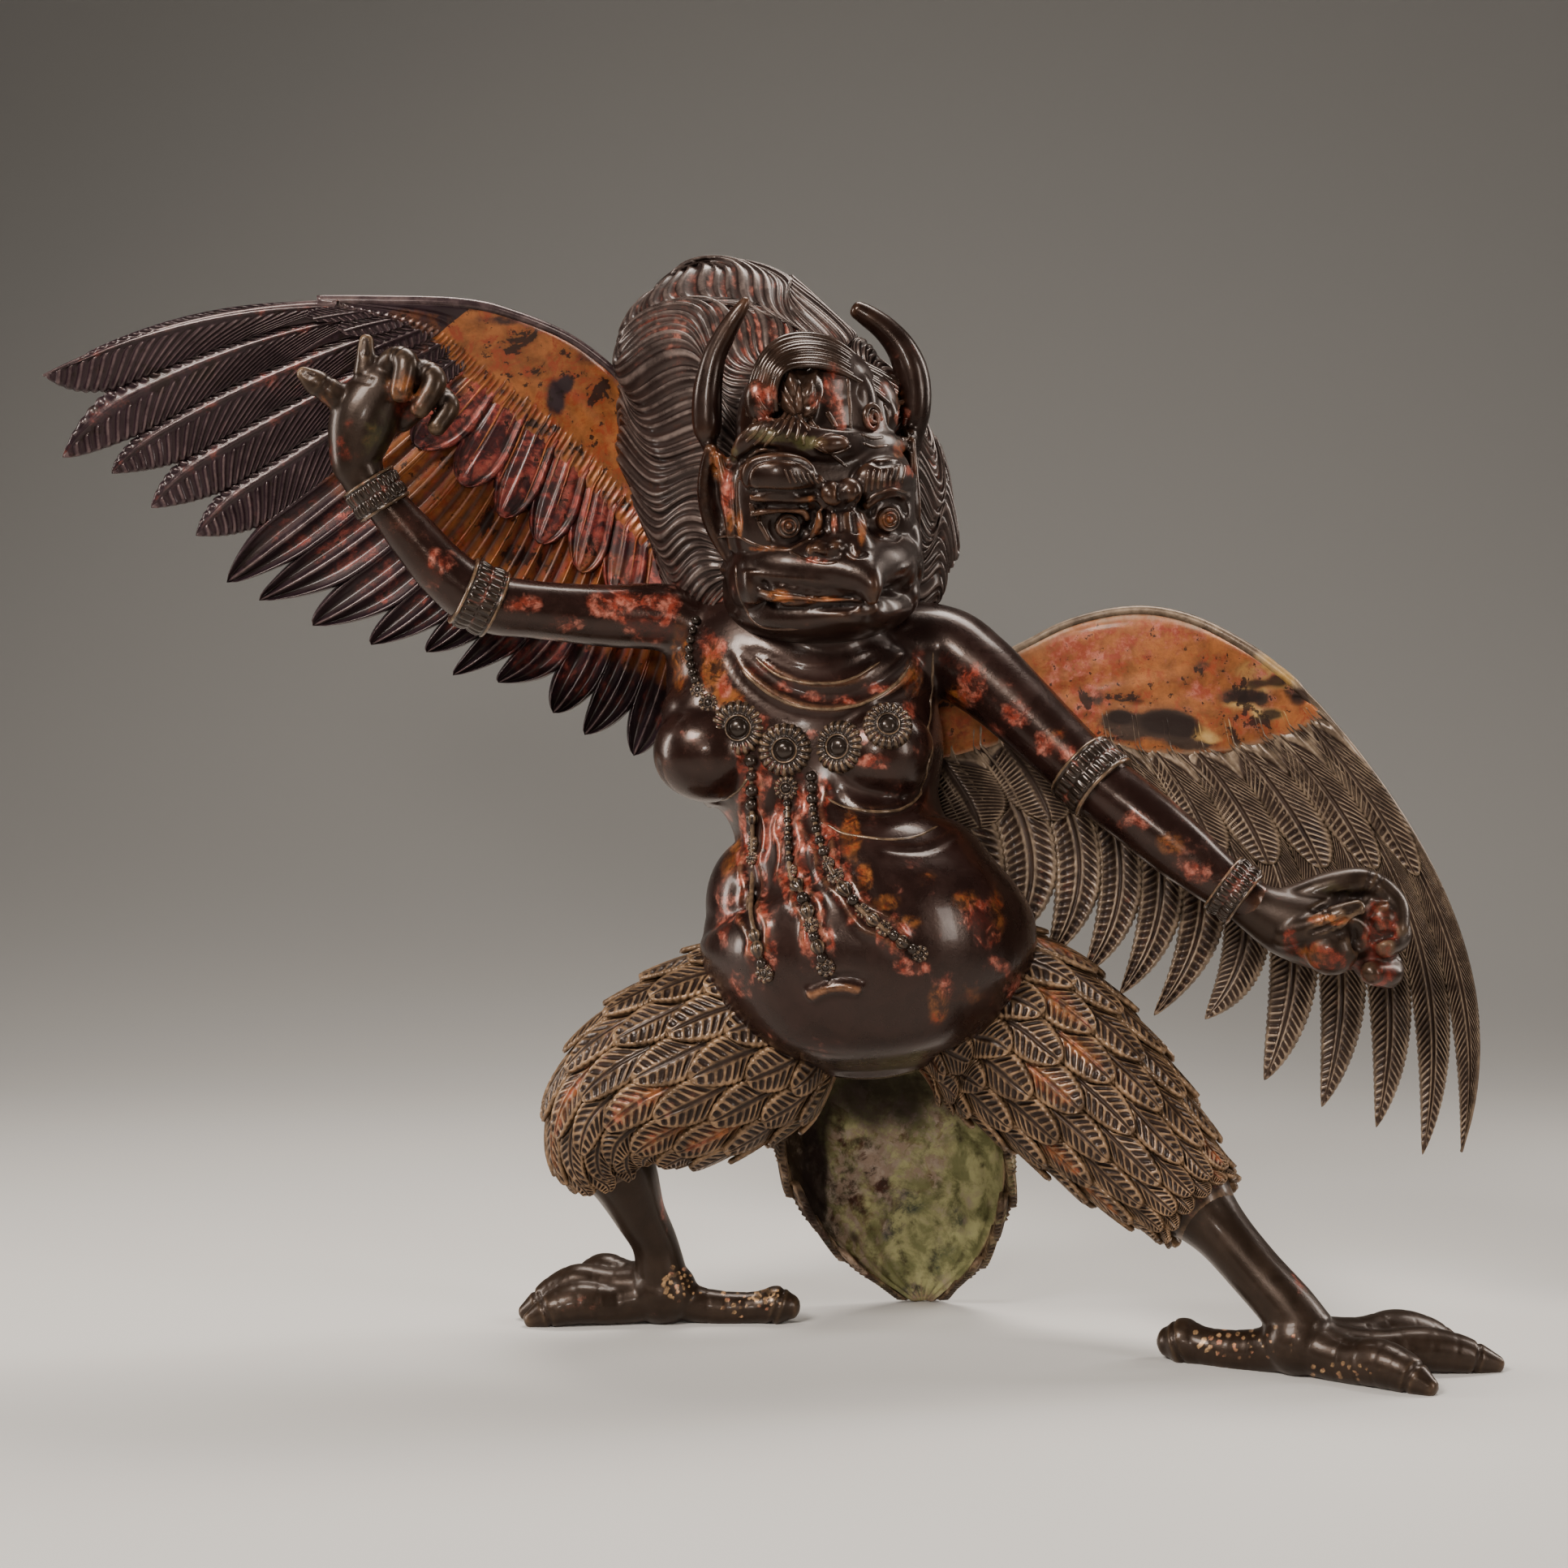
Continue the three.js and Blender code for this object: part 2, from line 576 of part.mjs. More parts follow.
// Everything is one casting.
const casting = [
  ...torso(), ...head(), ...crown(), ...horns(), ...mane(), ...arms(), ...hands(),
  ...legs(), ...feet(), ...wings(), ...tail(), ...jewellery(),
].reduce((joined, piece) => joined.add(piece)).subtract(belowTable());

const joined = casting.getMesh();
const figureGeometry = new THREE.BufferGeometry();
figureGeometry.setAttribute("position", new THREE.BufferAttribute(joined.vertProperties, 3));
figureGeometry.setIndex(new THREE.BufferAttribute(joined.triVerts, 1));

const lacqueredBronze = new THREE.MeshStandardMaterial({ color: 0x2a130e, roughness: 0.32, metalness: 0.6 });
const figure = new THREE.Mesh(figureGeometry, lacqueredBronze);
figure.name = "garuda_figure";

const group = new THREE.Group();
group.add(figure);

export default group;
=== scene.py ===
import math

import bmesh
import bpy
import numpy as np
from mathutils import Matrix, Vector
from mathutils.bvhtree import BVHTree


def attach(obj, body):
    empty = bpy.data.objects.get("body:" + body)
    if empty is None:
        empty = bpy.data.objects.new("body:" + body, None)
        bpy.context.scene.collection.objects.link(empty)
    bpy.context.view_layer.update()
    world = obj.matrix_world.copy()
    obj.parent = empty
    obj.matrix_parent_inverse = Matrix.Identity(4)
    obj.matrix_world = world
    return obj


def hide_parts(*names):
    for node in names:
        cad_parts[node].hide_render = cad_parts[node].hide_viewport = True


bl_info = {
    "name": "Garuda figure",
    "version": (1, 0, 0),
    "blender": (4, 5, 0),
    "location": "3D View > Sidebar > Garuda",
    "description": "Builds a cast and lacquered garuda figure",
    "category": "Add Mesh",
}

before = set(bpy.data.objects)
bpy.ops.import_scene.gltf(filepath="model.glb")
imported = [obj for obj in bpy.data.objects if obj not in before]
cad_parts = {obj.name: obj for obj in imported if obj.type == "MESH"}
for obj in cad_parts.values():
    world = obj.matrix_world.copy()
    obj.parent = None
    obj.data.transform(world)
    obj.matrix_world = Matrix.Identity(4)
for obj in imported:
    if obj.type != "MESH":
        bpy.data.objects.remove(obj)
CAST_NODE = "garuda_figure"
CAST_BODY = "root"

# The pose is written in shares of the height, from a point on the ground below the neck.
# X runs to the viewer's right, Y away from the viewer and Z up, and lengths are metres.
HEIGHT = 0.427
SHARE = HEIGHT / 1017
MIDDLE = np.array([-26.0, 36.0, 0.0])

FRONT = np.array([0.0, -1.0, 0.0])
UP = np.array([0.0, 0.0, 1.0])
DOWN = -UP

# The photograph's camera stands level in front of the figure.
PHOTO_SIZE = 1932
PHOTO_FOCAL = 3800
PHOTO_CENTRE_X = 966
PHOTO_HORIZON_Y = 820
SENSOR = 36.0
EYE = np.array([0.0109, -1.1921, 0.2626])


# Lines and frames

def at(points):
    """Points of the pose as metres in the shared frame."""
    return (np.asarray(points, float) - MIDDLE) * SHARE


def unit(vectors):
    """The vectors with a length of 1."""
    vectors = np.asarray(vectors, float)
    return vectors / np.maximum(np.linalg.norm(vectors, axis=-1, keepdims=True), 1e-12)


def smooth_step(low, high, x):
    """From 0 at low to 1 at high, with a soft start and end."""
    t = np.clip((np.asarray(x, float) - low) / (high - low), 0, 1)
    return t * t * (3 - 2 * t)


def cubic(a, b, c, d, f):
    """A smooth line through four points, at the share f of the way from b to c."""
    return 0.5 * (
        2 * b + (c - a) * f + (2 * a - 5 * b + 4 * c - d) * f**2
        + (3 * b - a - 3 * c + d) * f**3
    )


def spline(points, t, closed=False):
    """Points of a smooth line through the given points, for t from 0 to 1."""
    p = np.asarray(points, float)
    count = len(p)
    spans = count if closed else count - 1
    t = np.asarray(t, float)
    s = (t % 1.0 if closed else np.clip(t, 0, 1)) * spans
    i = np.minimum(s.astype(int), spans - 1)
    f = (s - i)[..., None]
    if closed:
        return cubic(*(p[(i + k) % count] for k in (-1, 0, 1, 2)), f)
    wide = np.vstack([2 * p[0] - p[1], p, 2 * p[-1] - p[-2]])
    return cubic(*(wide[i + k] for k in range(4)), f)


def spline_frame(centres, t, front):
    """The line's direction, side and face at t. The face looks towards front."""
    reach = 0.01
    ahead = unit(spline(centres, t + reach) - spline(centres, t - reach))
    side = unit(np.cross(ahead, front))
    return ahead, side, np.cross(side, ahead)


# The head looks to the right and a little down, and leans to the left.
HEAD_CENTRE = np.array([26.0, 58.0, 748.0])
HEAD_TURN = math.radians(22)
HEAD_NOD = math.radians(4)
HEAD_LEAN = math.radians(6)
HEAD_POSE = np.array(
    Matrix.Rotation(HEAD_TURN, 3, "Z")
    @ Matrix.Rotation(HEAD_NOD, 3, "X")
    @ Matrix.Rotation(-HEAD_LEAN, 3, "Y")
)
HEAD_RIGHT = HEAD_POSE[:, 0]
HEAD_AHEAD = -HEAD_POSE[:, 1]
HEAD_UP = HEAD_POSE[:, 2]
HEAD_AXES = np.array([HEAD_RIGHT, HEAD_AHEAD, HEAD_UP])


def on_head(points):
    """Points of the head, from (right of the face, ahead of it, up)."""
    p = np.asarray(points, float) * SHARE
    return at(HEAD_CENTRE) + p @ HEAD_AXES


def rays(pixels):
    """The directions from the camera to pixels of the photograph, a metre deep."""
    p = np.asarray(pixels, float)
    return np.column_stack([
        (p[:, 0] - PHOTO_CENTRE_X) / PHOTO_FOCAL, np.ones(len(p)),
        (PHOTO_HORIZON_Y - p[:, 1]) / PHOTO_FOCAL,
    ])


def in_view(points):
    """Points (pixel x, pixel y, depth) where the camera sees those pixels of the photograph.

    The depth is the pose's Y, in shares.
    """
    p = np.asarray(points, float)
    reach = (p[:, 2] - MIDDLE[1]) * SHARE - EYE[1]
    return EYE + rays(p) * reach[:, None]


def on_face(points):
    """Points (pixel x, pixel y, how far ahead of the head's centre, in shares)."""
    p = np.asarray(points, float)
    gap = p[:, 2] * SHARE + (at(HEAD_CENTRE) - EYE) @ HEAD_AHEAD
    return EYE + rays(p) * (gap / (rays(p) @ HEAD_AHEAD))[:, None]


def as_given(points):
    """Points that are metres in the shared frame already."""
    return points


# Meshes

def mesh_of(bm):
    """The mesh that a bmesh holds, which is then freed."""
    mesh = bpy.data.meshes.new("part")
    bm.to_mesh(mesh)
    bm.free()
    return mesh


def positions(mesh):
    co = np.empty(len(mesh.vertices) * 3, np.float32)
    mesh.vertices.foreach_get("co", co)
    return co.reshape(-1, 3).astype(float)


def set_positions(mesh, co):
    mesh.vertices.foreach_set("co", np.asarray(co, np.float32).ravel())
    mesh.update()


def grid(columns, rows, shape):
    """A mesh grid whose points are shape(u, v), with u and v from 0 to 1.

    The shape may also give tones by name, each one number or a number at each point.
    """
    bm = bmesh.new()
    bmesh.ops.create_grid(bm, x_segments=columns, y_segments=rows, size=0.5)
    mesh = mesh_of(bm)
    uv = positions(mesh) + 0.5
    made = shape(uv[:, 0], uv[:, 1])
    co, tones = made if isinstance(made, tuple) else (made, {})
    set_positions(mesh, co)
    for name, values in tones.items():
        set_tone(mesh, name, values)
    return mesh


def sphere(finish):
    """A mesh of a round ball with a radius of 1."""
    bm = bmesh.new()
    bmesh.ops.create_icosphere(bm, subdivisions=finish, radius=1)
    return mesh_of(bm)


def ball(centre, radii, axes=np.eye(3), finish=3):
    """An egg shape whose radii, in shares, run along the three axes."""
    mesh = sphere(finish)
    radii = np.asarray(radii, float) * SHARE
    set_positions(mesh, np.asarray(centre) + (positions(mesh) * radii) @ axes)
    return mesh


# How many rows of faces close each end of a tube.
CAP_ROWS = 3


def tube(rings, sides=24, steps=None, front=FRONT, place=at, dome=0.6, carve=None):
    """A round form along a line. Each ring is (x, y, z, half width, half depth)."""
    rings = np.asarray(rings, float)
    centres = place(rings[:, :3])
    path = np.hstack([centres, rings[:, 3:5] * SHARE])
    steps = steps or 6 * len(rings)
    cap = CAP_ROWS / (steps + 2 * CAP_ROWS)

    def shape(u, v):
        angle = 2 * math.pi * u
        along = np.clip((v - cap) / (1 - 2 * cap), 0, 1)
        over = np.clip(np.maximum(cap - v, v - 1 + cap) / cap, 0, 1) * math.pi / 2
        spot = spline(path, along)
        ahead, side, face = spline_frame(centres, along, front)
        wide, deep = spot[:, 3], spot[:, 4]
        if carve is not None:
            swell = carve(angle, along)
            wide = wide * swell
            deep = deep * swell
        push = np.sin(over) * dome * np.minimum(wide, deep) * np.where(v < 0.5, -1, 1)
        round_off = np.cos(over)
        return (
            spot[:, :3] + ahead * push[:, None]
            + side * (np.sin(angle) * wide * round_off)[:, None]
            + face * (np.cos(angle) * deep * round_off)[:, None]
        )

    return grid(sides, steps + 2 * CAP_ROWS, shape)


def wire(line, wide, deep, **more):
    """A tube along points in metres, whose half widths and depths are in shares."""
    return tube(np.column_stack([line, wide, deep]), place=as_given, **more)


def volume_of(mesh):
    """The volume inside a closed mesh, below 0 if its faces point inwards."""
    mesh.calc_loop_triangles()
    corners = np.empty(3 * len(mesh.loop_triangles), np.int32)
    mesh.loop_triangles.foreach_get("vertices", corners)
    co = positions(mesh)
    a, b, c = (co[corners[k::3]] - co[0] for k in range(3))
    return np.einsum("ij,ij->i", a, np.cross(b, c)).sum() / 6


def welded(parts, gap=1e-7):
    """One mesh of closed shells, with seams and poles closed and faces pointing out."""
    bm = bmesh.new()
    layers = [layer for part in parts for layer in part.attributes]
    tones = sorted({layer.name for layer in layers if layer.data_type == "FLOAT"})
    for part in parts:
        for name in tones:
            set_tone(part, name, tone_of(part, name))
        if volume_of(part) < 0:
            part.flip_normals()
        bm.from_mesh(part)
        bpy.data.meshes.remove(part)
    bmesh.ops.remove_doubles(bm, verts=bm.verts, dist=gap)
    bmesh.ops.dissolve_degenerate(bm, edges=bm.edges, dist=gap)
    return mesh_of(bm)


def fused(parts, voxel, rounds):
    """The parts melted into one skin, then smoothed."""
    lump = bpy.data.objects.new("lump", welded(parts))
    bpy.context.scene.collection.objects.link(lump)
    remesh = lump.modifiers.new("melt", "REMESH")
    remesh.mode = "VOXEL"
    remesh.voxel_size = voxel
    smooth = lump.modifiers.new("smooth", "SMOOTH")
    smooth.factor = 0.5
    smooth.iterations = rounds
    graph = bpy.context.evaluated_depsgraph_get()
    mesh = bpy.data.meshes.new_from_object(lump.evaluated_get(graph))
    bpy.data.objects.remove(lump)
    return mesh


def edges_of(mesh):
    pairs = np.empty(len(mesh.edges) * 2, np.int32)
    mesh.edges.foreach_get("vertices", pairs)
    return pairs.reshape(-1, 2)


def normals_of(mesh):
    normals = np.empty(len(mesh.vertices) * 3, np.float32)
    mesh.vertex_normals.foreach_get("vector", normals)
    return normals.reshape(-1, 3).astype(float)


def spread(values, pairs, rounds):
    """Values evened out between neighbours."""
    count = len(values)
    degree = np.bincount(pairs.ravel(), minlength=count) + 1.0
    for _ in range(rounds):
        total = values.copy()
        total += np.bincount(pairs[:, 0], values[pairs[:, 1]], count)
        total += np.bincount(pairs[:, 1], values[pairs[:, 0]], count)
        values = total / degree
    return values


def recess_of(mesh, rounds=2):
    """How far each point lies in a hollow, above 0, or on a ridge, below 0."""
    co, normals, pairs = positions(mesh), normals_of(mesh), edges_of(mesh)
    step = co[pairs[:, 1]] - co[pairs[:, 0]]
    length = np.maximum(np.linalg.norm(step, axis=1), 1e-9)
    rise_a = np.einsum("ij,ij->i", normals[pairs[:, 0]], step) / length
    rise_b = -np.einsum("ij,ij->i", normals[pairs[:, 1]], step) / length
    count = len(co)
    total = np.bincount(pairs[:, 0], rise_a, count) + np.bincount(pairs[:, 1], rise_b, count)
    degree = np.maximum(np.bincount(pairs.ravel(), minlength=count), 1)
    return spread(total / degree, pairs, rounds)


def set_tone(mesh, name, values):
    """A number at each point that the materials read."""
    layer = mesh.attributes.get(name) or mesh.attributes.new(name, "FLOAT", "POINT")
    layer.data.foreach_set("value", np.full(len(mesh.vertices), values, np.float32))


def tone_of(mesh, name):
    """The numbers at each point, or zeros if the mesh has none."""
    values = np.zeros(len(mesh.vertices), np.float32)
    if name in mesh.attributes:
        mesh.attributes[name].data.foreach_get("value", values)
    return values


# The least and the most of each tone.
TONE_LIMITS = {"red": (0, 1.2), "ochre": (0, 1.2), "green": (0, 1.2), "crest": (-1.2, 1.2)}


def paint_marks(mesh, marks):
    """Adds tones where the camera sees the marks.

    The marks of each tone are (pixel x, pixel y, half width, half height, amount). An amount below 0 takes
    that tone away, and a crest below 0 darkens like a deep hollow, which gives sooty patches on the wing
    and painted shadow in the tail.
    """
    away = positions(mesh) - EYE
    x = PHOTO_CENTRE_X + PHOTO_FOCAL * away[:, 0] / away[:, 1]
    y = PHOTO_HORIZON_Y - PHOTO_FOCAL * away[:, 2] / away[:, 1]
    facing = smooth_step(0.5, 0.0, np.einsum("ij,ij->i", unit(away), normals_of(mesh)))
    for tone, limits in TONE_LIMITS.items():
        values = tone_of(mesh, tone).astype(float)
        for mark_x, mark_y, wide, high, amount in marks.get(tone, []):
            gap = ((x - mark_x) / wide) ** 2 + ((y - mark_y) / high) ** 2
            values += amount * np.exp(-(gap**1.5)) * facing
        set_tone(mesh, tone, np.clip(values, *limits))


def spots_of(hits):
    """The points and the normals that a search of a mesh found."""
    found = np.array([(*spot, *normal) for spot, normal, _, _ in hits if spot is not None]).reshape(-1, 6)
    return found[:, :3], found[:, 3:]


class Clay:
    """A mesh held as arrays, so that strokes can be pressed into it or raised on it."""

    def __init__(self, mesh):
        self.mesh = mesh
        self.settle()

    def settle(self):
        """Reads the mesh again."""
        self.co = positions(self.mesh)
        self.normals = normals_of(self.mesh)
        bm = bmesh.new()
        bm.from_mesh(self.mesh)
        self.tree = BVHTree.FromBMesh(bm)
        bm.free()

    def seen(self, pixels):
        """Where the camera sees the pixels on this mesh: points and normals."""
        return spots_of(self.tree.ray_cast(Vector(EYE), Vector(ray).normalized()) for ray in rays(pixels))

    def near(self, points):
        """The nearest points of this mesh, and their normals."""
        return spots_of(self.tree.find_nearest(Vector(point)) for point in points)

    def away(self, line, width):
        """The points near a line, their distance from it and their place along it."""
        count = max(2, int(len(line) * 6))
        t = np.linspace(0, 1, count)
        fine = spline(line, t)
        low, high = fine.min(0) - 3 * width, fine.max(0) + 3 * width
        chosen = np.nonzero(np.all((self.co > low) & (self.co < high), axis=1))[0]
        if len(chosen) == 0:
            return chosen, np.zeros(0), np.zeros(0)
        spots = self.co[chosen]
        best = np.full(len(chosen), np.inf)
        where = np.zeros(len(chosen))
        for k in range(count - 1):
            start, run = fine[k], fine[k + 1] - fine[k]
            share = np.clip((spots - start) @ run / max(run @ run, 1e-14), 0, 1)
            gap = np.linalg.norm(spots - start - share[:, None] * run, axis=1)
            nearer = gap < best
            best[nearer] = gap[nearer]
            where[nearer] = (k + share[nearer]) / (count - 1)
        return chosen, best, where

    def stroke(self, line, width, height, taper=0.0):
        """Raises a soft ridge along a line, or presses a groove where height is below 0."""
        if len(line) < 2:
            return
        chosen, gap, where = self.away(line, width)
        lift = height * np.exp(-((gap / width) ** 2))
        if taper > 0:
            lift *= smooth_step(0, taper, where) * smooth_step(0, taper, 1 - where)
        self.co[chosen] += self.normals[chosen] * lift[:, None]

    def draw(self, lines, taper):
        """Strokes where the camera sees lines: (pixels, width, height), both in shares."""
        for pixels, width, height in lines:
            spots, _ = self.seen(pixels)
            self.stroke(spots, width * SHARE, height * SHARE, taper)

    def crease(self, centres, share, reach, width, depth):
        """Presses a crease across a limb, at a share of its length. Sizes are in shares."""
        centre, next_centre = spline(centres, np.array([share, share + 0.03]))
        chosen = np.nonzero(np.linalg.norm(self.co - centre, axis=1) < reach * SHARE)[0]
        gap = (self.co[chosen] - centre) @ unit(next_centre - centre)
        press = -depth * SHARE * np.exp(-((gap / (width * SHARE)) ** 2))
        self.co[chosen] += self.normals[chosen] * press[:, None]

    def write(self):
        """Gives the mesh its new shape."""
        set_positions(self.mesh, self.co)
        self.settle()


def shown(name, mesh, material):
    """A finished piece that moves with the casting and stands for it."""
    mesh.name = name
    piece = bpy.data.objects.new(name, mesh)
    bpy.context.scene.collection.objects.link(piece)
    mesh.materials.append(material)
    mesh.shade_smooth()
    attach(piece, CAST_BODY)
    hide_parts(CAST_NODE)


# Body, arms and hands

TORSO = [
    (82, 58, 265, 64, 62), (80, 54, 296, 119, 116), (78, 48, 340, 149, 138), (77, 46, 384, 154, 142),
    (72, 52, 416, 124, 128), (60, 62, 448, 100, 110), (50, 72, 487, 96, 95), (41, 76, 527, 113, 91),
    (26, 78, 564, 125, 91), (19, 80, 602, 129, 88), (20, 84, 640, 125, 80), (26, 88, 673, 95, 62),
]
NECK = [(25, 74, 599, 62, 58), (31, 64, 640, 62, 62), (35, 58, 702, 64, 68)]
LEFT_ARM = [
    (0, 86, 622, 45, 45), (-73, 78, 657, 33, 37), (-111, 74, 670, 32, 34), (-171, 66, 672, 29, 31),
    (-229, 52, 677, 27, 29), (-274, 40, 684, 28, 29), (-309, 33, 708, 26, 27), (-340, 27, 743, 23, 24),
    (-362, 22, 770, 20, 21), (-382, 19, 795, 19, 20),
]
RIGHT_ARM = [
    (72, 88, 634, 56, 56), (144, 82, 640, 43, 47), (177, 66, 622, 39, 42), (208, 48, 595, 35, 38),
    (245, 26, 558, 32, 34), (282, 6, 522, 30, 32), (319, -7, 492, 30, 31), (355, -16, 462, 29, 30),
    (391, -26, 432, 24, 25), (424, -32, 410, 21, 23),
]
BREASTS = [(-70, 36, 546), (86, 16, 546)]
BREAST_RADII = (51, 47, 47)
# What rounds the torso, as (centre, radii): the flank above the belly at the viewer's left, the
# small of the back, and the run from the armpit to the breast.
FILLINGS = [
    ((-23, 60, 404), (50, 66, 64)), ((-19, 57, 377), (56, 62, 52)), ((66, 110, 400), (112, 79, 96)),
    ((-64, 52, 580), (50, 42, 42)),
]
SEAT = ((80, 104, 297), (80, 72, 38))
SHOULDERS = [(-40, 84, 640, 52), (88, 86, 640, 58)]


def body_clay(voxel):
    """The torso, the neck and both arms."""
    parts = [
        tube(TORSO, sides=64, steps=80, dome=0.3),
        tube(NECK, sides=40),
        tube(LEFT_ARM, sides=28, steps=90),
        tube(RIGHT_ARM, sides=28, steps=90),
        ball(at(SEAT[0]), SEAT[1]),
    ]
    parts += [ball(at(centre), radii, finish=4) for centre, radii in FILLINGS]
    parts += [ball(at(centre), BREAST_RADII, finish=4) for centre in BREASTS]
    parts += [ball(at((x, y, z)), (size, size * 0.8, size * 0.62)) for x, y, z, size in SHOULDERS]
    clay = Clay(fused(parts, voxel, 6))
    soften_back(clay)
    carve_body(clay)
    return clay


# Where the back is evened out, in shares: from how far back, and from which height to which.
SOFT_DEPTH = (62, 106)
SOFT_LOW = (285, 335)
SOFT_HIGH = (590, 500)
SOFT_ROUNDS = 420


def soften_back(clay):
    """The hidden small of the back, as one smooth run from the hips to the shoulders."""
    _, depth, height = (clay.co / SHARE + MIDDLE).T
    share = smooth_step(*SOFT_DEPTH, depth) * smooth_step(*SOFT_LOW, height)
    share = share * smooth_step(*SOFT_HIGH, height)
    pairs = edges_of(clay.mesh)
    soft = np.column_stack([spread(clay.co[:, axis], pairs, SOFT_ROUNDS) for axis in range(3)])
    clay.co += (soft - clay.co) * share[:, None]
    clay.write()


# Lines of the chest and belly, as pixels of the photograph: (line, width, height) in shares.
BODY_STROKES = [
    # Folds of the neck.
    ([(905, 790), (935, 822), (975, 848), (1020, 858), (1070, 848), (1110, 822), (1135, 790)], 5, -3.0),
    ([(900, 805), (930, 838), (972, 864), (1020, 874), (1072, 864), (1115, 836), (1140, 800)], 5, 3.2),
    ([(892, 800), (915, 838), (950, 868), (990, 886)], 4, -1.6),
    ([(1060, 880), (1100, 862), (1138, 830)], 4, -1.6),
    ([(920, 795), (950, 812), (1000, 828), (1050, 820), (1090, 800)], 4, -1.8),
    ([(930, 800), (962, 832), (1004, 843), (1052, 838), (1092, 812)], 3, 1.8),
    # Under the breasts.
    ([(812, 930), (820, 965), (845, 986), (880, 990), (912, 970)], 4, -3.4),
    ([(1022, 962), (1040, 990), (1075, 1002), (1115, 996), (1140, 970), (1150, 935)], 4, -3.4),
    # The creases over the belly.
    ([(1082, 1044), (1110, 1048), (1140, 1047), (1165, 1037), (1183, 1025)], 3, -2.0),
    # The navel's lower lip and hollow.
    ([(994, 1231), (1006, 1222), (1026, 1216), (1048, 1216), (1066, 1223)], 6.0, 6.0),
    ([(996, 1222), (1010, 1212), (1030, 1206), (1050, 1206), (1066, 1213)], 4.5, -4.0),
]
# Paint on the body, by tone: (pixel x, pixel y, half width, half height, amount).
BODY_PAINT = {
    "red": [
        (800, 768, 34, 26, 0.9), (760, 745, 40, 18, 0.75), (822, 742, 26, 16, 0.7), (872, 790, 14, 30, 0.5),
        (886, 800, 9, 12, 0.9), (893, 846, 8, 14, 0.8), (937, 824, 16, 9, 0.8), (965, 846, 18, 9, 0.7),
        (1000, 858, 20, 8, 0.6), (1044, 862, 20, 8, 0.7), (1085, 848, 20, 9, 0.7), (1132, 815, 10, 20, 0.7),
        (1120, 876, 10, 12, 0.6), (1076, 938, 24, 9, 0.95), (1000, 905, 10, 8, 0.8), (940, 890, 8, 10, 0.7),
        (1064, 908, 7, 10, 0.8), (1195, 842, 18, 24, 0.9), (1252, 880, 18, 16, 0.7),
        (1222, 905, 14, 12, 0.5), (1285, 915, 12, 18, 0.5), (1168, 812, 14, 14, 0.5),
        (893, 1008, 12, 10, 0.7), (892, 1120, 12, 40, 0.5), (1120, 1192, 26, 9, 0.7),
        (1130, 1062, 16, 10, 0.4), (1204, 1126, 22, 22, 0.75), (1216, 1152, 16, 16, 0.7),
        (1230, 1188, 12, 12, 0.6), (1165, 1215, 14, 20, 0.5), (1248, 1210, 12, 30, 0.4),
        (912, 1215, 20, 18, 0.4), (700, 770, 26, 12, 0.6), (650, 745, 24, 12, 0.5), (545, 690, 20, 16, 0.5),
        (1320, 930, 20, 16, 0.6), (1400, 1010, 24, 18, 0.6), (1476, 1075, 18, 16, 0.5),
    ],
    "ochre": [
        (838, 806, 12, 52, 0.8), (880, 826, 18, 42, 0.9), (900, 862, 20, 16, 0.8), (1124, 836, 14, 24, 0.9),
        (1180, 858, 16, 20, 0.8), (902, 1046, 14, 24, 0.8), (896, 1078, 10, 16, 0.5),
        (1048, 1030, 14, 34, 0.9), (1066, 1080, 12, 22, 0.8), (1092, 1112, 20, 12, 0.8),
        (1120, 1136, 20, 9, 0.7), (1140, 1080, 16, 16, 0.5), (1190, 1110, 20, 16, 0.7),
        (1228, 1130, 14, 40, 0.5), (1156, 1238, 14, 26, 0.8), (1196, 1225, 20, 20, 0.4),
        (676, 792, 30, 10, 0.6), (1300, 905, 20, 14, 0.5), (1440, 1040, 22, 18, 0.6),
    ],
}


# How many places the border of a string of beads has.
BORDER_PLACES = 14


def carve_body(clay):
    """The folds of the skin, and its raised red borders at both sides of each string of beads."""
    clay.draw(BODY_STROKES, 0.15)
    reds = list(BODY_PAINT["red"])
    for pixels in STRANDS:
        for side in (-1, 1):
            uneven = 12.5 + 3.5 * np.sin(1.9 * np.arange(BORDER_PLACES) + side + pixels[0][0])
            border = beside(pixels, side * uneven)
            clay.draw([(border, 4.6, 3.0)], 0.1)
            for k, (x, y) in enumerate(border):
                strength = 0.8 - 0.35 * smooth_step(1050, 1120, y) + 0.35 * math.sin(2.3 * k + side)
                reds.append((x, y, 6.5 + 2.5 * math.sin(1.7 * k), 14, strength))
    clay.write()
    paint_marks(clay.mesh, {**BODY_PAINT, "red": reds})


def beside(pixels, offsets):
    """Places along a line of pixels, each moved to one side by its offset in pixels."""
    t = np.linspace(0.02, 0.94, len(offsets))
    line = spline(pixels, t)
    run = unit(spline(pixels, t + 0.02) - spline(pixels, t - 0.02))
    return [(x - far * down, y + far * across) for (x, y), (across, down), far in zip(line, run, offsets)]


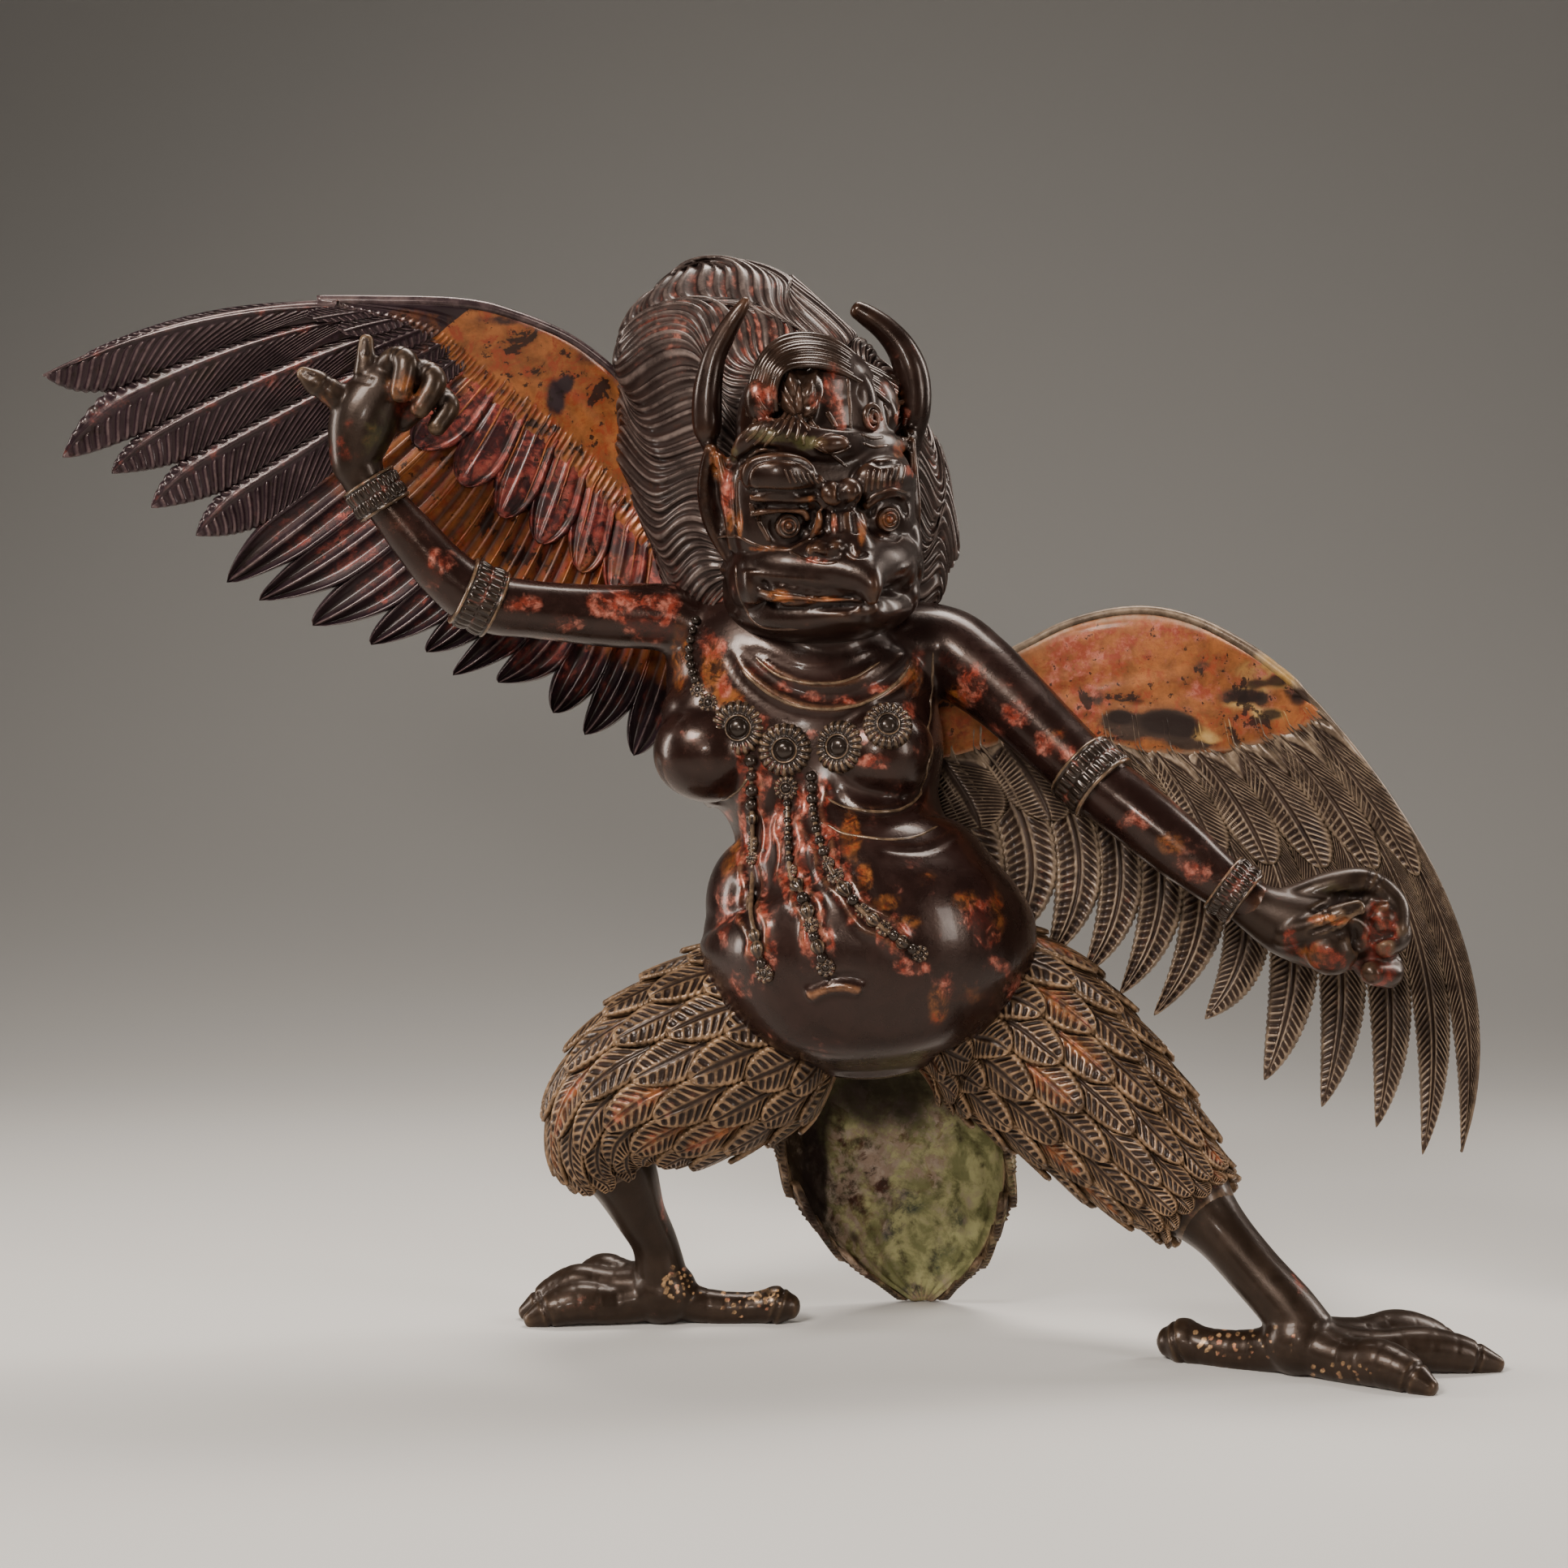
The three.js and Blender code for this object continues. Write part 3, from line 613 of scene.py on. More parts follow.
LEFT_PALM = [
    (-377, 20, 780, 19, 20), (-386, 19, 800, 21, 21), (-391, 18, 817, 25, 24), (-383, 16, 852, 32, 26),
    (-364, 14, 885, 25, 20),
]
LEFT_FINGERS = [
    # The raised first finger.
    [(-393, 16, 826, 15, 15), (-388, 12, 865, 12, 13), (-384, 10, 884, 10, 10.5),
     (-382, 10, 896, 10.5, 10.5), (-381, 10, 922, 7, 7)],
    # The thumb, out to the left.
    [(-385, 18, 852, 17, 14), (-408, 8, 871, 13, 12), (-426, 2, 883, 12, 10), (-437, 0, 891, 7, 7)],
    # The curled fingers.
    [(-373, 14, 859, 14, 12), (-360, 8, 900, 12, 12), (-343, -6, 900, 12, 12), (-347, -12, 872, 10, 10)],
    [(-360, 20, 857, 14, 12), (-338, 12, 892, 12, 12), (-318, -1, 884, 12, 12), (-330, -8, 858, 9.5, 9.5)],
    [(-352, 26, 850, 12, 11), (-322, 22, 872, 11, 11), (-306, 10, 862, 10.5, 10.5), (-316, 2, 842, 9, 9)],
]
RIGHT_PALM = [
    (410, -30, 420, 20, 22), (424, -33, 408, 21, 23), (451, -34, 395, 31, 31), (488, -32, 387, 41, 36),
    (519, -26, 385, 35, 28),
]
RIGHT_FINGERS = [
    # The first finger arches over the top of the fist.
    [(453, -32, 412, 15, 17), (490, -40, 428, 13, 15), (522, -42, 432, 12, 13),
     (545, -46, 413, 12, 13), (546, -60, 390, 10, 10)],
    [(500, -16, 391, 15, 16), (541, -22, 400, 15, 15), (549, -42, 384, 13, 13), (534, -62, 376, 11, 11)],
    [(494, -18, 365, 15, 15), (534, -22, 364, 15, 14), (542, -42, 350, 13, 13), (522, -62, 352, 11, 11)],
    # The thumb lies across the front.
    [(447, -50, 386, 15, 15), (470, -66, 393, 13, 12), (492, -76, 404, 11, 10), (507, -78, 411, 8, 8)],
]
# What fills the closed hand: (centre, radii).
RIGHT_FIST = [
    ((492, -28, 396), (42, 26, 32)), ((528, -34, 384), (24, 26, 44)), ((534, -56, 398), (14, 12, 16)),
    ((486, -64, 372), (24, 16, 22)),
]
# Gaps between the fingers of the closed hand: (pixels, width, height) in shares.
FIST_GAPS = [
    ([(1668, 1128), (1673, 1150), (1672, 1175), (1664, 1200)], 6, -9),
    ([(1612, 1128), (1640, 1112), (1666, 1102)], 4, -6),
    ([(1684, 1160), (1704, 1154), (1722, 1150)], 3.5, -4),
    ([(1608, 1152), (1640, 1142), (1664, 1130)], 3, -4),
]
# The nails: (finger, the way that the nail faces).
NAILS = [(LEFT_FINGERS[0], (0, -1, 0.1)), (LEFT_FINGERS[1], (0, -1, 0.3)), (RIGHT_FINGERS[3], (0, -1, 0.4))]


# Where the creases across a finger's middle joint lie, as shares of its length.
KNUCKLES = (0.5, 0.56)


def hands_clay(voxel):
    """The open hand with its raised finger, and the closed one."""
    parts = [tube(LEFT_PALM, sides=28), tube(RIGHT_PALM, sides=28, front=UP)]
    parts += [tube(rings, sides=18, dome=0.9) for rings in LEFT_FINGERS + RIGHT_FINGERS]
    parts += [ball(at(centre), radii, finish=4) for centre, radii in RIGHT_FIST]
    clay = Clay(fused(parts, voxel, 3))
    for rings, facing in NAILS:
        carve_nail(clay, rings, np.array(facing, float))
    for rings in LEFT_FINGERS + RIGHT_FINGERS:
        for share in KNUCKLES:
            clay.crease(at(np.array(rings)[:, :3]), share, reach=20, width=1.5, depth=1.1)
    clay.draw(FIST_GAPS, 0.2)
    clay.write()
    return clay


def carve_nail(clay, rings, facing):
    """A nail's outline at the end of a finger, on the side that faces along facing."""
    tip = at(rings[-1][:3])
    back = unit(at(rings[-2][:3]) - tip)
    side = unit(np.cross(back, facing))
    half = rings[-1][3] * 0.75 * SHARE
    reach = half * 2.4
    front = tip + facing * 0.01
    outline = [
        front + side * half + back * reach, front + side * half, front - back * half * 0.7,
        front - side * half, front - side * half + back * reach,
    ]
    spots, _ = clay.near(outline)
    clay.stroke(spots, 1.6 * SHARE, -1.6 * SHARE)


# Legs and feet

LEFT_THIGH = [
    (41, 92, 301, 45, 51), (-4, 88, 285, 82, 93), (-50, 82, 269, 89, 94), (-95, 75, 248, 85, 88),
    (-133, 73, 229, 74, 78), (-159, 78, 206, 59, 63), (-168, 87, 179, 46, 50), (-160, 95, 161, 37, 41),
]
LEFT_SHIN = [
    (-168, 87, 184, 40, 44), (-163, 93, 165, 37, 41), (-151, 101, 144, 33, 37), (-137, 115, 108, 25, 28),
    (-123, 130, 76, 22, 25), (-116, 135, 42, 25, 27),
]
RIGHT_THIGH = [
    (115, 92, 309, 45, 51), (162, 88, 304, 78, 91), (208, 80, 288, 85, 91), (251, 62, 255, 81, 84),
    (294, 37, 216, 71, 74), (332, 10, 178, 58, 59), (367, -11, 144, 41, 44), (380, -19, 131, 33, 36),
]
RIGHT_SHIN = [
    (360, -7, 152, 38, 42), (371, -13, 140, 36, 40), (394, -28, 115, 27, 31), (420, -47, 85, 25, 28),
    (446, -65, 56, 26, 29), (460, -74, 34, 29, 31),
]


def toe_rings(ankle, reach, degrees, girth, rise, profile):
    """A toe's rings, from the ankle out. The profile is (share of the reach, height, size)."""
    angle = math.radians(degrees)
    x, y = ankle
    return [
        (
            x + reach * share * math.cos(angle), y + reach * share * math.sin(angle),
            up * (1 + rise * math.sin(math.pi * share)), girth * size, girth * size,
        )
        for share, up, size in profile
    ]


ARCHED_TOE = [
    (0, 28, 1.4), (0.2, 21, 1.15), (0.4, 18, 1.05), (0.6, 20, 1.08), (0.76, 17, 0.98), (0.88, 12, 0.8),
    (1, 6, 0.45),
]
BALLED_TOE = [
    (0, 28, 1.35), (0.25, 17, 1.0), (0.5, 13, 0.9), (0.74, 14, 0.85), (0.9, 16, 1.05), (1, 15, 0.7),
]
FEET = [
    # Ankle, then (reach, degrees, girth, rise) for each fore toe and for the hind toe.
    ((-116, 138), [(126, 190, 19, 0), (132, 175, 19, 0.7), (108, 152, 19, 1)], (122, -2, 18, 0)),
    ((456, -76), [(128, -40, 20, 0), (176, 2, 19, 0), (176, 27, 19, 0.3)], (122, 152, 21, 0)),
]


def flecks(middle, reach, count):
    """Marks of small flecks scattered about a pixel, with their reach in pixels."""
    x, y = middle
    wide, high = reach
    marks = []
    for k in range(count):
        angle = 2.4 * k
        out = math.sqrt((k + 0.5) / count) * (0.85 + 0.15 * math.sin(3.7 * k))
        size = 1.7 + 1.3 * math.sin(5.1 * k) ** 2
        marks.append((x + wide * out * math.cos(angle), y + high * out * math.sin(angle), size, size, 1.2))
    return marks


# Gilding left on the feet, and paint on the hands with a painted highlight along the thumb, as on the body.
FEET_PAINT = {
    "red": [(820, 1480, 12, 40, 0.5), (1600, 1560, 14, 40, 0.5)],
    "ochre": [
        *flecks((838, 1582), (31, 26), 30), *flecks((908, 1604), (22, 24), 14),
        *flecks((946, 1598), (22, 15), 20), *flecks((1530, 1655), (80, 24), 34),
        *flecks((1660, 1690), (60, 14), 16),
    ],
}
HANDS_PAINT_AND_HIGHLIGHT = {
    "red": [
        (1700, 1150, 22, 46, 1.0), (1590, 1160, 10, 16, 0.8), (1690, 1200, 30, 18, 0.9),
        (1630, 1180, 30, 20, 0.4), (415, 560, 20, 20, 0.5), (505, 500, 20, 16, 0.5),
    ],
    # The ochre streak at (1638, 1134) is a painted highlight along the thumb.
    "ochre": [
        (1704, 1116, 10, 8, 0.9), (1638, 1134, 30, 8, 0.9), (1620, 1175, 26, 20, 0.55),
        (500, 480, 30, 26, 0.6), (398, 500, 16, 24, 0.5),
    ],
    "green": [
        (1640, 1096, 50, 14, 0.45), (470, 540, 30, 50, 0.5),
    ],
}


# Creases across the top of a toe, the last one where its claw starts: (share of its length, depth).
SCUTES = ((0.3, 0.5), (0.42, 0.5), (0.55, 0.4), (0.68, 0.4), (0.84, 2.0))


def feet_clay(voxel):
    """The shins and the bird's feet, flat below where they stand on the ground."""
    parts = [tube(LEFT_SHIN, sides=28), tube(RIGHT_SHIN, sides=28)]
    for ankle, toes, hind in FEET:
        for sizes in toes:
            parts.append(tube(toe_rings(ankle, *sizes, ARCHED_TOE), sides=20, front=DOWN, dome=0.8))
        parts.append(tube(toe_rings(ankle, *hind, BALLED_TOE), sides=20, front=DOWN, dome=0.8))
        parts.append(ball(at((*ankle, 28)), (34, 32, 32)))
    clay = Clay(fused(parts, voxel, 4))
    for ankle, toes, hind in FEET:
        for sizes in toes + [hind]:
            rings = np.array(toe_rings(ankle, *sizes, ARCHED_TOE))
            for share, depth in SCUTES:
                clay.crease(at(rings[:, :3]), share, reach=26, width=1.8, depth=depth)
    clay.co[:, 2] = np.maximum(clay.co[:, 2], 0)
    clay.write()
    return clay


# Head, crown and horns

def head_ball(centre, radii, finish=4):
    return ball(on_head(centre), radii, HEAD_AXES, finish)


def face_tube(rings, sides=20, **more):
    return tube(rings, sides=sides, front=HEAD_AHEAD, place=on_face, **more)


def face_ball(centre, radii, finish=4):
    return ball(on_face([centre])[0], radii, HEAD_AXES, finish)


def lengthwise(rings, sides=24, **more):
    """A tube whose rings are (right, ahead, up, half width, half height)."""
    return tube(rings, sides=sides, front=HEAD_UP, place=on_head, **more)


def upright(rings, sides=24, **more):
    """A tube whose rings are (right, ahead, up, half width, half depth)."""
    return tube(rings, sides=sides, front=HEAD_AHEAD, place=on_head, **more)


def boxy_ball(centre, radii, power, finish=5):
    """An egg shape with flatter sides, in the head's directions."""
    mesh = sphere(finish)
    co = positions(mesh)
    size = (np.abs(co) ** power).sum(1, keepdims=True) ** (1 / power)
    co = co / size * np.asarray(radii, float) * SHARE
    set_positions(mesh, on_head(centre) + co @ HEAD_AXES)
    return mesh


# The mask: a wide, flat-fronted face. Rings are (right, ahead, up, half width, half height).
UPPER_BEAK = [
    (-2, 0, -20, 88, 32), (-3, 34, -21, 88, 33), (-3, 60, -22, 82, 32), (-3, 82, -26, 66, 29),
    (-3, 102, -30, 46, 25), (-2, 118, -36, 27, 19), (-1, 129, -45, 13, 14), (-1, 133, -57, 5, 6),
]
LOWER_BEAK = [
    (-3, -10, -62, 86, 40), (-3, 28, -65, 87, 36), (-3, 58, -68, 77, 31), (-3, 84, -69, 57, 24),
    (-3, 104, -67, 34, 16), (-2, 115, -63, 15, 9),
]
LIP = [
    (-80, 58, -42, 5, 5), (-70, 76, -46, 10, 10), (-58, 88, -49, 9, 9), (-42, 101, -51, 7.5, 6.5),
    (-26, 111, -52, 6, 5), (-5, 121, -54, 5, 4),
]
JAW_HINGES = [((-80, 34, -34), (17, 32, 30)), ((74, 34, -34), (17, 32, 30))]
NOSE = [
    (-6, 78, 40, 15, 10), (-6, 84, 24, 15, 12), (-6, 92, 6, 19, 14), (-5, 103, -10, 22, 14),
    (-4, 114, -26, 16, 12),
]
# The rings of the face are (pixel x, pixel y, how far ahead, half width, half depth), and its
# forms are (centre, radii).
LEFT_BROW = [
    (920, 588, 64, 12, 8), (936, 585, 76, 18, 12), (962, 584, 84, 20, 15), (986, 586, 86, 17, 12),
    (1002, 592, 85, 9, 7),
]
LEFT_BAND = [(925, 613, 70, 3, 5), (945, 614, 78, 4.5, 6), (980, 615, 84, 4.5, 6), (1008, 613, 88, 3.5, 5)]
LEFT_LID = [
    (926, 634, 70, 3, 4), (942, 630, 77, 3.5, 5), (966, 628, 82, 3.5, 5), (988, 631, 84, 3.5, 5),
    (995, 640, 84, 3, 4),
]
RIGHT_BROW = [
    (1062, 604, 82, 12, 8), (1076, 592, 83, 18, 12), (1096, 588, 75, 19, 13), (1112, 593, 60, 15, 10),
    (1122, 604, 44, 8, 6),
]
RIGHT_LID = [(1066, 624, 84, 4, 5), (1080, 613, 84, 4.5, 6), (1100, 608, 76, 4.5, 6), (1118, 612, 60, 4, 5)]
FROWN = [((1022, 610, 90), (12.5, 13, 13.5)), ((1046, 606, 91), (12, 13, 13)), ((1008, 591, 88), (5, 7, 5))]
NOSE_RIBS = [
    [(1001, 660, 84, 3, 3), (1007, 650, 88, 4, 4), (1010, 640, 90, 3.5, 4), (1009, 630, 88, 2.5, 3)],
    [(1030, 657, 98, 3.5, 4), (1028, 645, 97, 4, 5), (1027, 633, 94, 3, 4)],
    [(1043, 655, 99, 3.5, 4), (1041, 644, 98, 4, 5), (1040, 632, 94, 3, 4)],
    [(1067, 660, 92, 4, 4), (1062, 646, 92, 4.5, 5), (1058, 633, 90, 3.5, 4)],
]
NOSTRIL_FORMS = [
    ((1012, 677, 101), (15, 12, 9)), ((1028, 674, 106), (10, 10, 8)), ((1060, 674, 104), (10, 10, 9)),
    ((1082, 680, 93), (7, 8, 7)),
]
RIGHT_CHEEK = [
    ((1094, 702, 66), (28, 24, 28)), ((1110, 668, 42), (20, 20, 34)), ((1102, 730, 52), (24, 24, 26)),
    ((1108, 640, 48), (14, 16, 24)),
]
LEFT_EAR_RINGS = [
    [
        (876, 552, 14, 6, 6), (870, 575, 8, 6, 7), (868, 605, 4, 7, 8), (874, 640, 4, 7, 8),
        (886, 668, 8, 6, 7), (898, 690, 14, 4, 5),
    ],
    [
        (884, 562, 22, 5, 6), (890, 590, 26, 5, 6), (896, 620, 30, 5.5, 7), (900, 650, 32, 5, 6),
        (902, 676, 30, 4, 4),
    ],
]
EAR_FORM = ((886, 612, 2), (15, 15, 44))
# A horn's rings: (pixel x, pixel y, depth, half width, half depth).
LEFT_HORN = [
    (884, 600, 14, 7, 7), (880, 574, 13, 7.5, 7.5), (876, 556, 13, 7, 7), (873, 545, 12, 8, 8),
    (871.5, 530, 11, 13, 13), (871, 500, 11, 14, 14), (873, 472, 10, 13, 13), (880, 440, 8, 11, 11),
    (892, 415, 6, 10, 10), (904, 394, 3, 8.5, 8.5), (914, 379, 1, 6.5, 6.5), (920, 369, 0, 4, 4),
]
RIGHT_HORN = [
    (1116, 566, 86, 12, 12), (1122, 535, 86, 13, 13), (1126, 508, 85, 15.5, 15.5),
    (1126, 480, 84, 16.5, 16.5), (1121, 453, 82, 16, 16), (1109, 427, 81, 14, 14), (1090, 405, 79, 12, 12),
    (1070, 390, 77, 10.5, 10.5), (1055, 381, 76, 8.5, 8.5),
]
CROWN_DOME = ((8, 4, 92), (75, 62, 86))
# The crown's arch of strands, from its outer line to its inner one: (pixel x, pixel y, ahead).
ARCH_OUTER = [
    (922, 512, 34), (924, 480, 36), (934, 449, 38), (948, 429, 38), (968, 417, 38), (995, 414, 36),
    (1022, 419, 32), (1043, 431, 28), (1062, 446, 22), (1084, 457, 12), (1106, 470, 2),
]
ARCH_INNER = [
    (956, 506, 56), (955, 482, 60), (961, 462, 62), (974, 452, 63), (992, 449, 63), (1012, 450, 61),
    (1032, 456, 58), (1050, 466, 54), (1068, 477, 49), (1084, 489, 43), (1100, 502, 36),
]
ARCH_STRANDS = 9
# Paint on the head, and painted highlights on the nose, by tone, as on the body.
HEAD_PAINT_AND_HIGHLIGHTS = {
    "red": [
        (896, 610, 9, 34, 0.8), (1026, 480, 13, 30, 1.1), (1036, 520, 9, 14, 0.9), (1004, 492, 9, 12, 0.7),
        (942, 494, 16, 26, 0.6), (1112, 514, 9, 12, 0.8), (1122, 580, 8, 10, 0.7), (1076, 522, 14, 14, 0.6),
        (1028, 645, 5, 12, 0.5), (1000, 690, 24, 5, 0.7), (1100, 598, 14, 10, 0.4),
        (1095, 478, 18, 14, 0.4),
    ],
    # Two ochre marks, at (1008, 648) and (1062, 655) on the nose, are painted highlights.
    "ochre": [
        (886, 570, 14, 26, 0.8), (900, 640, 8, 20, 0.7), (912, 645, 4, 20, 0.8), (946, 476, 12, 20, 0.4),
        (1108, 553, 8, 12, 1.0), (1062, 655, 7, 22, 0.7), (1093, 640, 16, 14, 0.6), (970, 648, 14, 12, 0.4),
        (961, 734, 16, 9, 1.0), (1005, 739, 34, 5, 0.9), (1008, 648, 6, 16, 0.6), (1022, 680, 12, 10, 0.5),
        (945, 676, 26, 4, 0.7), (1050, 684, 12, 8, 0.5), (1000, 618, 6, 10, 0.6), (1110, 490, 8, 14, 0.5),
    ],
    "green": [
        (950, 536, 40, 12, 0.55), (905, 560, 10, 12, 0.5), (992, 548, 14, 10, 0.5),
        (1080, 590, 16, 16, 0.3), (1004, 545, 26, 10, 0.4),
    ],
}
CROWN_FORMS = [
    # The left lobe, the ornament's swell and the panel beside it.
    ((938, 494, 46), (16, 14, 22)), ((984, 500, 56), (16, 14, 22)), ((1056, 500, 44), (20, 16, 34)),
    ((1088, 512, 30), (14, 16, 20)), ((1004, 484, 22), (60, 40, 46)), ((1056, 502, 12), (40, 34, 38)),
]
CROWN_RIM = [
    (906, 560, 36, 6, 5), (922, 546, 50, 12, 7), (945, 538, 60, 16, 8), (972, 540, 67, 17, 8),
    (1004, 547, 72, 16, 8), (1036, 551, 70, 16, 8), (1066, 551, 60, 16, 8), (1092, 549, 46, 13, 7),
    (1112, 548, 28, 7, 6),
]
JEWEL = ((1025, 547, 84), (17, 7, 8))


def beak_section(angle, along):
    """The beak is keeled above and sharp along its lower edges."""
    keel = 0.07 * np.exp(-((np.sin(angle / 2) / 0.22) ** 2)) * smooth_step(0.35, 0.8, along)
    lip = 0.07 * np.exp(-(((np.abs(np.sin(angle)) - 0.9) / 0.2) ** 2)) * (np.cos(angle) < 0)
    flat = -0.08 * smooth_step(0.6, 1.0, -np.cos(angle))
    return 1 + keel + lip + flat


def head_clay(voxel):
    """The head with its beak, horns, ears and crown."""
    parts = [
        boxy_ball((-2, -8, 10), (88, 80, 86), 2.3),
        boxy_ball((-3, 18, 28), (91, 60, 62), 3.2),
        boxy_ball((-3, 6, -48), (86, 66, 50), 2.6),
        lengthwise(UPPER_BEAK, sides=56, steps=70, carve=beak_section),
        lengthwise(LOWER_BEAK, sides=48, steps=50),
        lengthwise(LIP, sides=16, steps=40),
        upright(NOSE, sides=24),
        head_ball(*CROWN_DOME, finish=5),
        tube(LEFT_HORN, sides=32, steps=90, place=in_view),
        tube(RIGHT_HORN, sides=32, steps=90, place=in_view),
        face_tube(CROWN_RIM, sides=24, steps=60),
        face_ball(*JEWEL),
    ]
    folds = (LEFT_BROW, LEFT_BAND, LEFT_LID, RIGHT_BROW, RIGHT_LID)
    parts += [face_tube(rings, steps=36) for rings in folds]
    parts += [face_tube(rings, sides=14, steps=20) for rings in NOSE_RIBS + LEFT_EAR_RINGS]
    parts += [head_ball(*form) for form in JAW_HINGES]
    parts += [face_ball(*form) for form in FROWN + NOSTRIL_FORMS + RIGHT_CHEEK + CROWN_FORMS + [EAR_FORM]]
    parts += [upright([mirrored(ring) for ring in rings], sides=16) for rings in LEFT_EAR_RINGS]
    clay = Clay(fused(parts, voxel, 3))
    carve_face(clay)
    return clay


def mirrored(ring):
    """A ring of the face's left side as (right, ahead, up, half width, half depth) at its right."""
    spot = on_face([ring[:3]])[0] - at(HEAD_CENTRE)
    right, ahead, up = (spot @ direction / SHARE for direction in HEAD_AXES)
    return (-right, ahead, up, *ring[3:])


# Strokes of the face and crown, as pixels of the photograph: (line, width, height) in shares.
FACE_STROKES = [
    # The mouth, from its corner to the beak's tip, and under the lip.
    ([(936, 717), (945, 723), (958, 726), (980, 729), (1006, 734), (1035, 736), (1060, 737)], 3.0, -6.0),
    ([(945, 741), (962, 745), (985, 744), (1010, 745), (1040, 746), (1060, 746)], 4.0, -4.0),
    # Round the brow bulge and between the bands.
    ([(921, 600), (921, 580), (934, 568), (962, 565), (990, 569), (1005, 582)], 2.6, -3.0),
    ([(922, 602), (945, 606), (975, 607), (1003, 605)], 2.4, -4.5),
    ([(924, 621), (945, 623), (975, 624), (1004, 622)], 2.4, -4.0),
    # The hollow round the left eye, and the corner beside the nose.
    ([(955, 636), (951, 650), (958, 664), (972, 668), (986, 660), (990, 646)], 4.0, -3.0),
    ([(1000, 628), (1000, 640), (994, 654)], 3.4, -3.5),
    # Round the forehead bumps, and between them.
    ([(1008, 600), (1008, 614), (1018, 625), (1034, 628), (1050, 622), (1060, 608)], 2.8, -4.0),
    ([(1034, 596), (1034, 606), (1034, 618)], 2.4, -3.2),
    # Between the ribs of the nose.
    ([(1019, 630), (1019, 644), (1020, 658)], 2.6, -4.0),
    ([(1035, 630), (1035, 642), (1036, 656)], 2.2, -3.6),
    ([(1051, 630), (1052, 642), (1054, 658)], 2.4, -3.6),
    # Round the nostrils.
    ([(1000, 668), (1006, 684), (1022, 688), (1036, 684)], 2.4, -3.0),
    ([(1046, 668), (1048, 680), (1058, 685), (1070, 682)], 2.4, -3.0),
    # The right eye's socket.
    ([(1072, 640), (1078, 622), (1094, 616), (1110, 622), (1118, 638)], 3.0, -3.2),
    ([(1074, 650), (1084, 662), (1100, 664), (1112, 654)], 3.0, -2.6),
    # The ear's hollow and the crease between the ear and the face.
    ([(882, 574), (881, 600), (886, 630), (894, 658)], 3.0, -6.0),
    ([(910, 566), (906, 590), (907, 625), (909, 650)], 2.0, -3.0),
    # Below the crown's rim.
    ([(916, 566), (934, 553), (960, 555)], 2.4, -2.6),
    ([(1060, 570), (1085, 572), (1110, 570)], 2.6, -2.6),
    # The folds of the throat.
    ([(906, 760), (925, 786), (955, 800), (990, 802)], 3.0, -2.4),
    # The cheek behind the mouth, softly raised.
    ([(925, 700), (925, 722), (932, 745)], 9, 2.5),
]
# Thin raised lines: (pixels, radius in shares).
FACE_RIDGES = [
    # The cere: from the ear, under the left eye, up to the nose; and over the beak.
    ([(880, 664), (897, 661), (913, 663), (925, 669), (940, 674), (957, 677), (973, 677), (987, 670),
      (1000, 662), (1008, 655)], 2.3),
    ([(970, 678), (980, 683), (990, 688), (1004, 692), (1021, 694), (1036, 690)], 2.2),
    # The mask's rim, up the cheek and over the brow.
    ([(914, 663), (911, 645), (909, 620), (909, 592), (913, 576), (922, 564), (934, 556), (952, 552)], 2.4),
    ([(1002, 546), (1012, 552), (1024, 560), (1034, 568), (1046, 577)], 2.2),
    # The slanting line beside the eye.
    ([(921, 619), (928, 630), (936, 645), (943, 657), (950, 669)], 2.7),
    # The brow's upper rim.
    ([(928, 578), (940, 571), (962, 568), (987, 573), (1000, 584)], 1.6),
    # The line of the jaw, and the throat.
    ([(907, 690), (907, 712), (912, 737), (921, 755), (939, 773), (966, 776), (990, 775)], 1.8),
    ([(936, 792), (963, 797), (987, 796), (1004, 790)], 1.5),
    # The right brow's arcs.
    ([(1066, 620), (1080, 609), (1100, 603), (1120, 608)], 2.0),
]
EYES = [((970.5, 648), 11.5), ((1093, 640), 12.0)]
SOCKET_RADIUS = 16
SOCKET_DEPTH = 1.5
# An eye's rings, from its centre out: (radius, height) for an eye with a radius of 13 shares.
EYE_SIZE = 13.0
EYE_PROFILE = [
    (0, 6.4), (1.6, 6.2), (2.9, 5.2), (3.7, 3.8), (4.5, 3.0), (5.4, 4.0), (6.4, 5.2), (7.4, 5.2),
    (8.3, 4.0), (8.9, 3.0), (9.8, 3.4), (10.9, 4.0), (11.9, 3.2), (12.8, 0.6), (13.2, -4.0), (0, -5.0),
]


def carve_face(clay):
    """The flat sockets of the eyes, then the lines of the face and crown."""
    spots, _ = clay.seen([pixel for pixel, _ in EYES])
    for spot in spots:
        gap = np.linalg.norm(clay.co - spot, axis=1)
        press = -SOCKET_DEPTH * SHARE * np.exp(-((gap / (SOCKET_RADIUS * SHARE)) ** 4))
        clay.co += clay.normals * press[:, None]
    clay.write()
    clay.draw(FACE_STROKES, 0.1)
    clay.write()


def ridge(clay, pixels, radius, sink=0.5, sides=8):
    """A thin raised line that follows the surface where the camera sees the pixels."""
    spots, normals = clay.seen(pixels)
    if len(spots) < 2:
        return None
    fine = np.linspace(0, 1, 4 * len(spots))
    line = spline(spots, fine)
    line, normals = clay.near(line)
    line = line - normals * radius * sink * SHARE
    share = np.linspace(0, 1, len(line))
    ends = smooth_step(0, 0.12, share) * smooth_step(0, 0.12, 1 - share)
    size = radius * np.sqrt(np.maximum(ends, 0.04))
    return wire(line, size, size, sides=sides, steps=2 * len(line), front=normals.mean(0), dome=0.8)


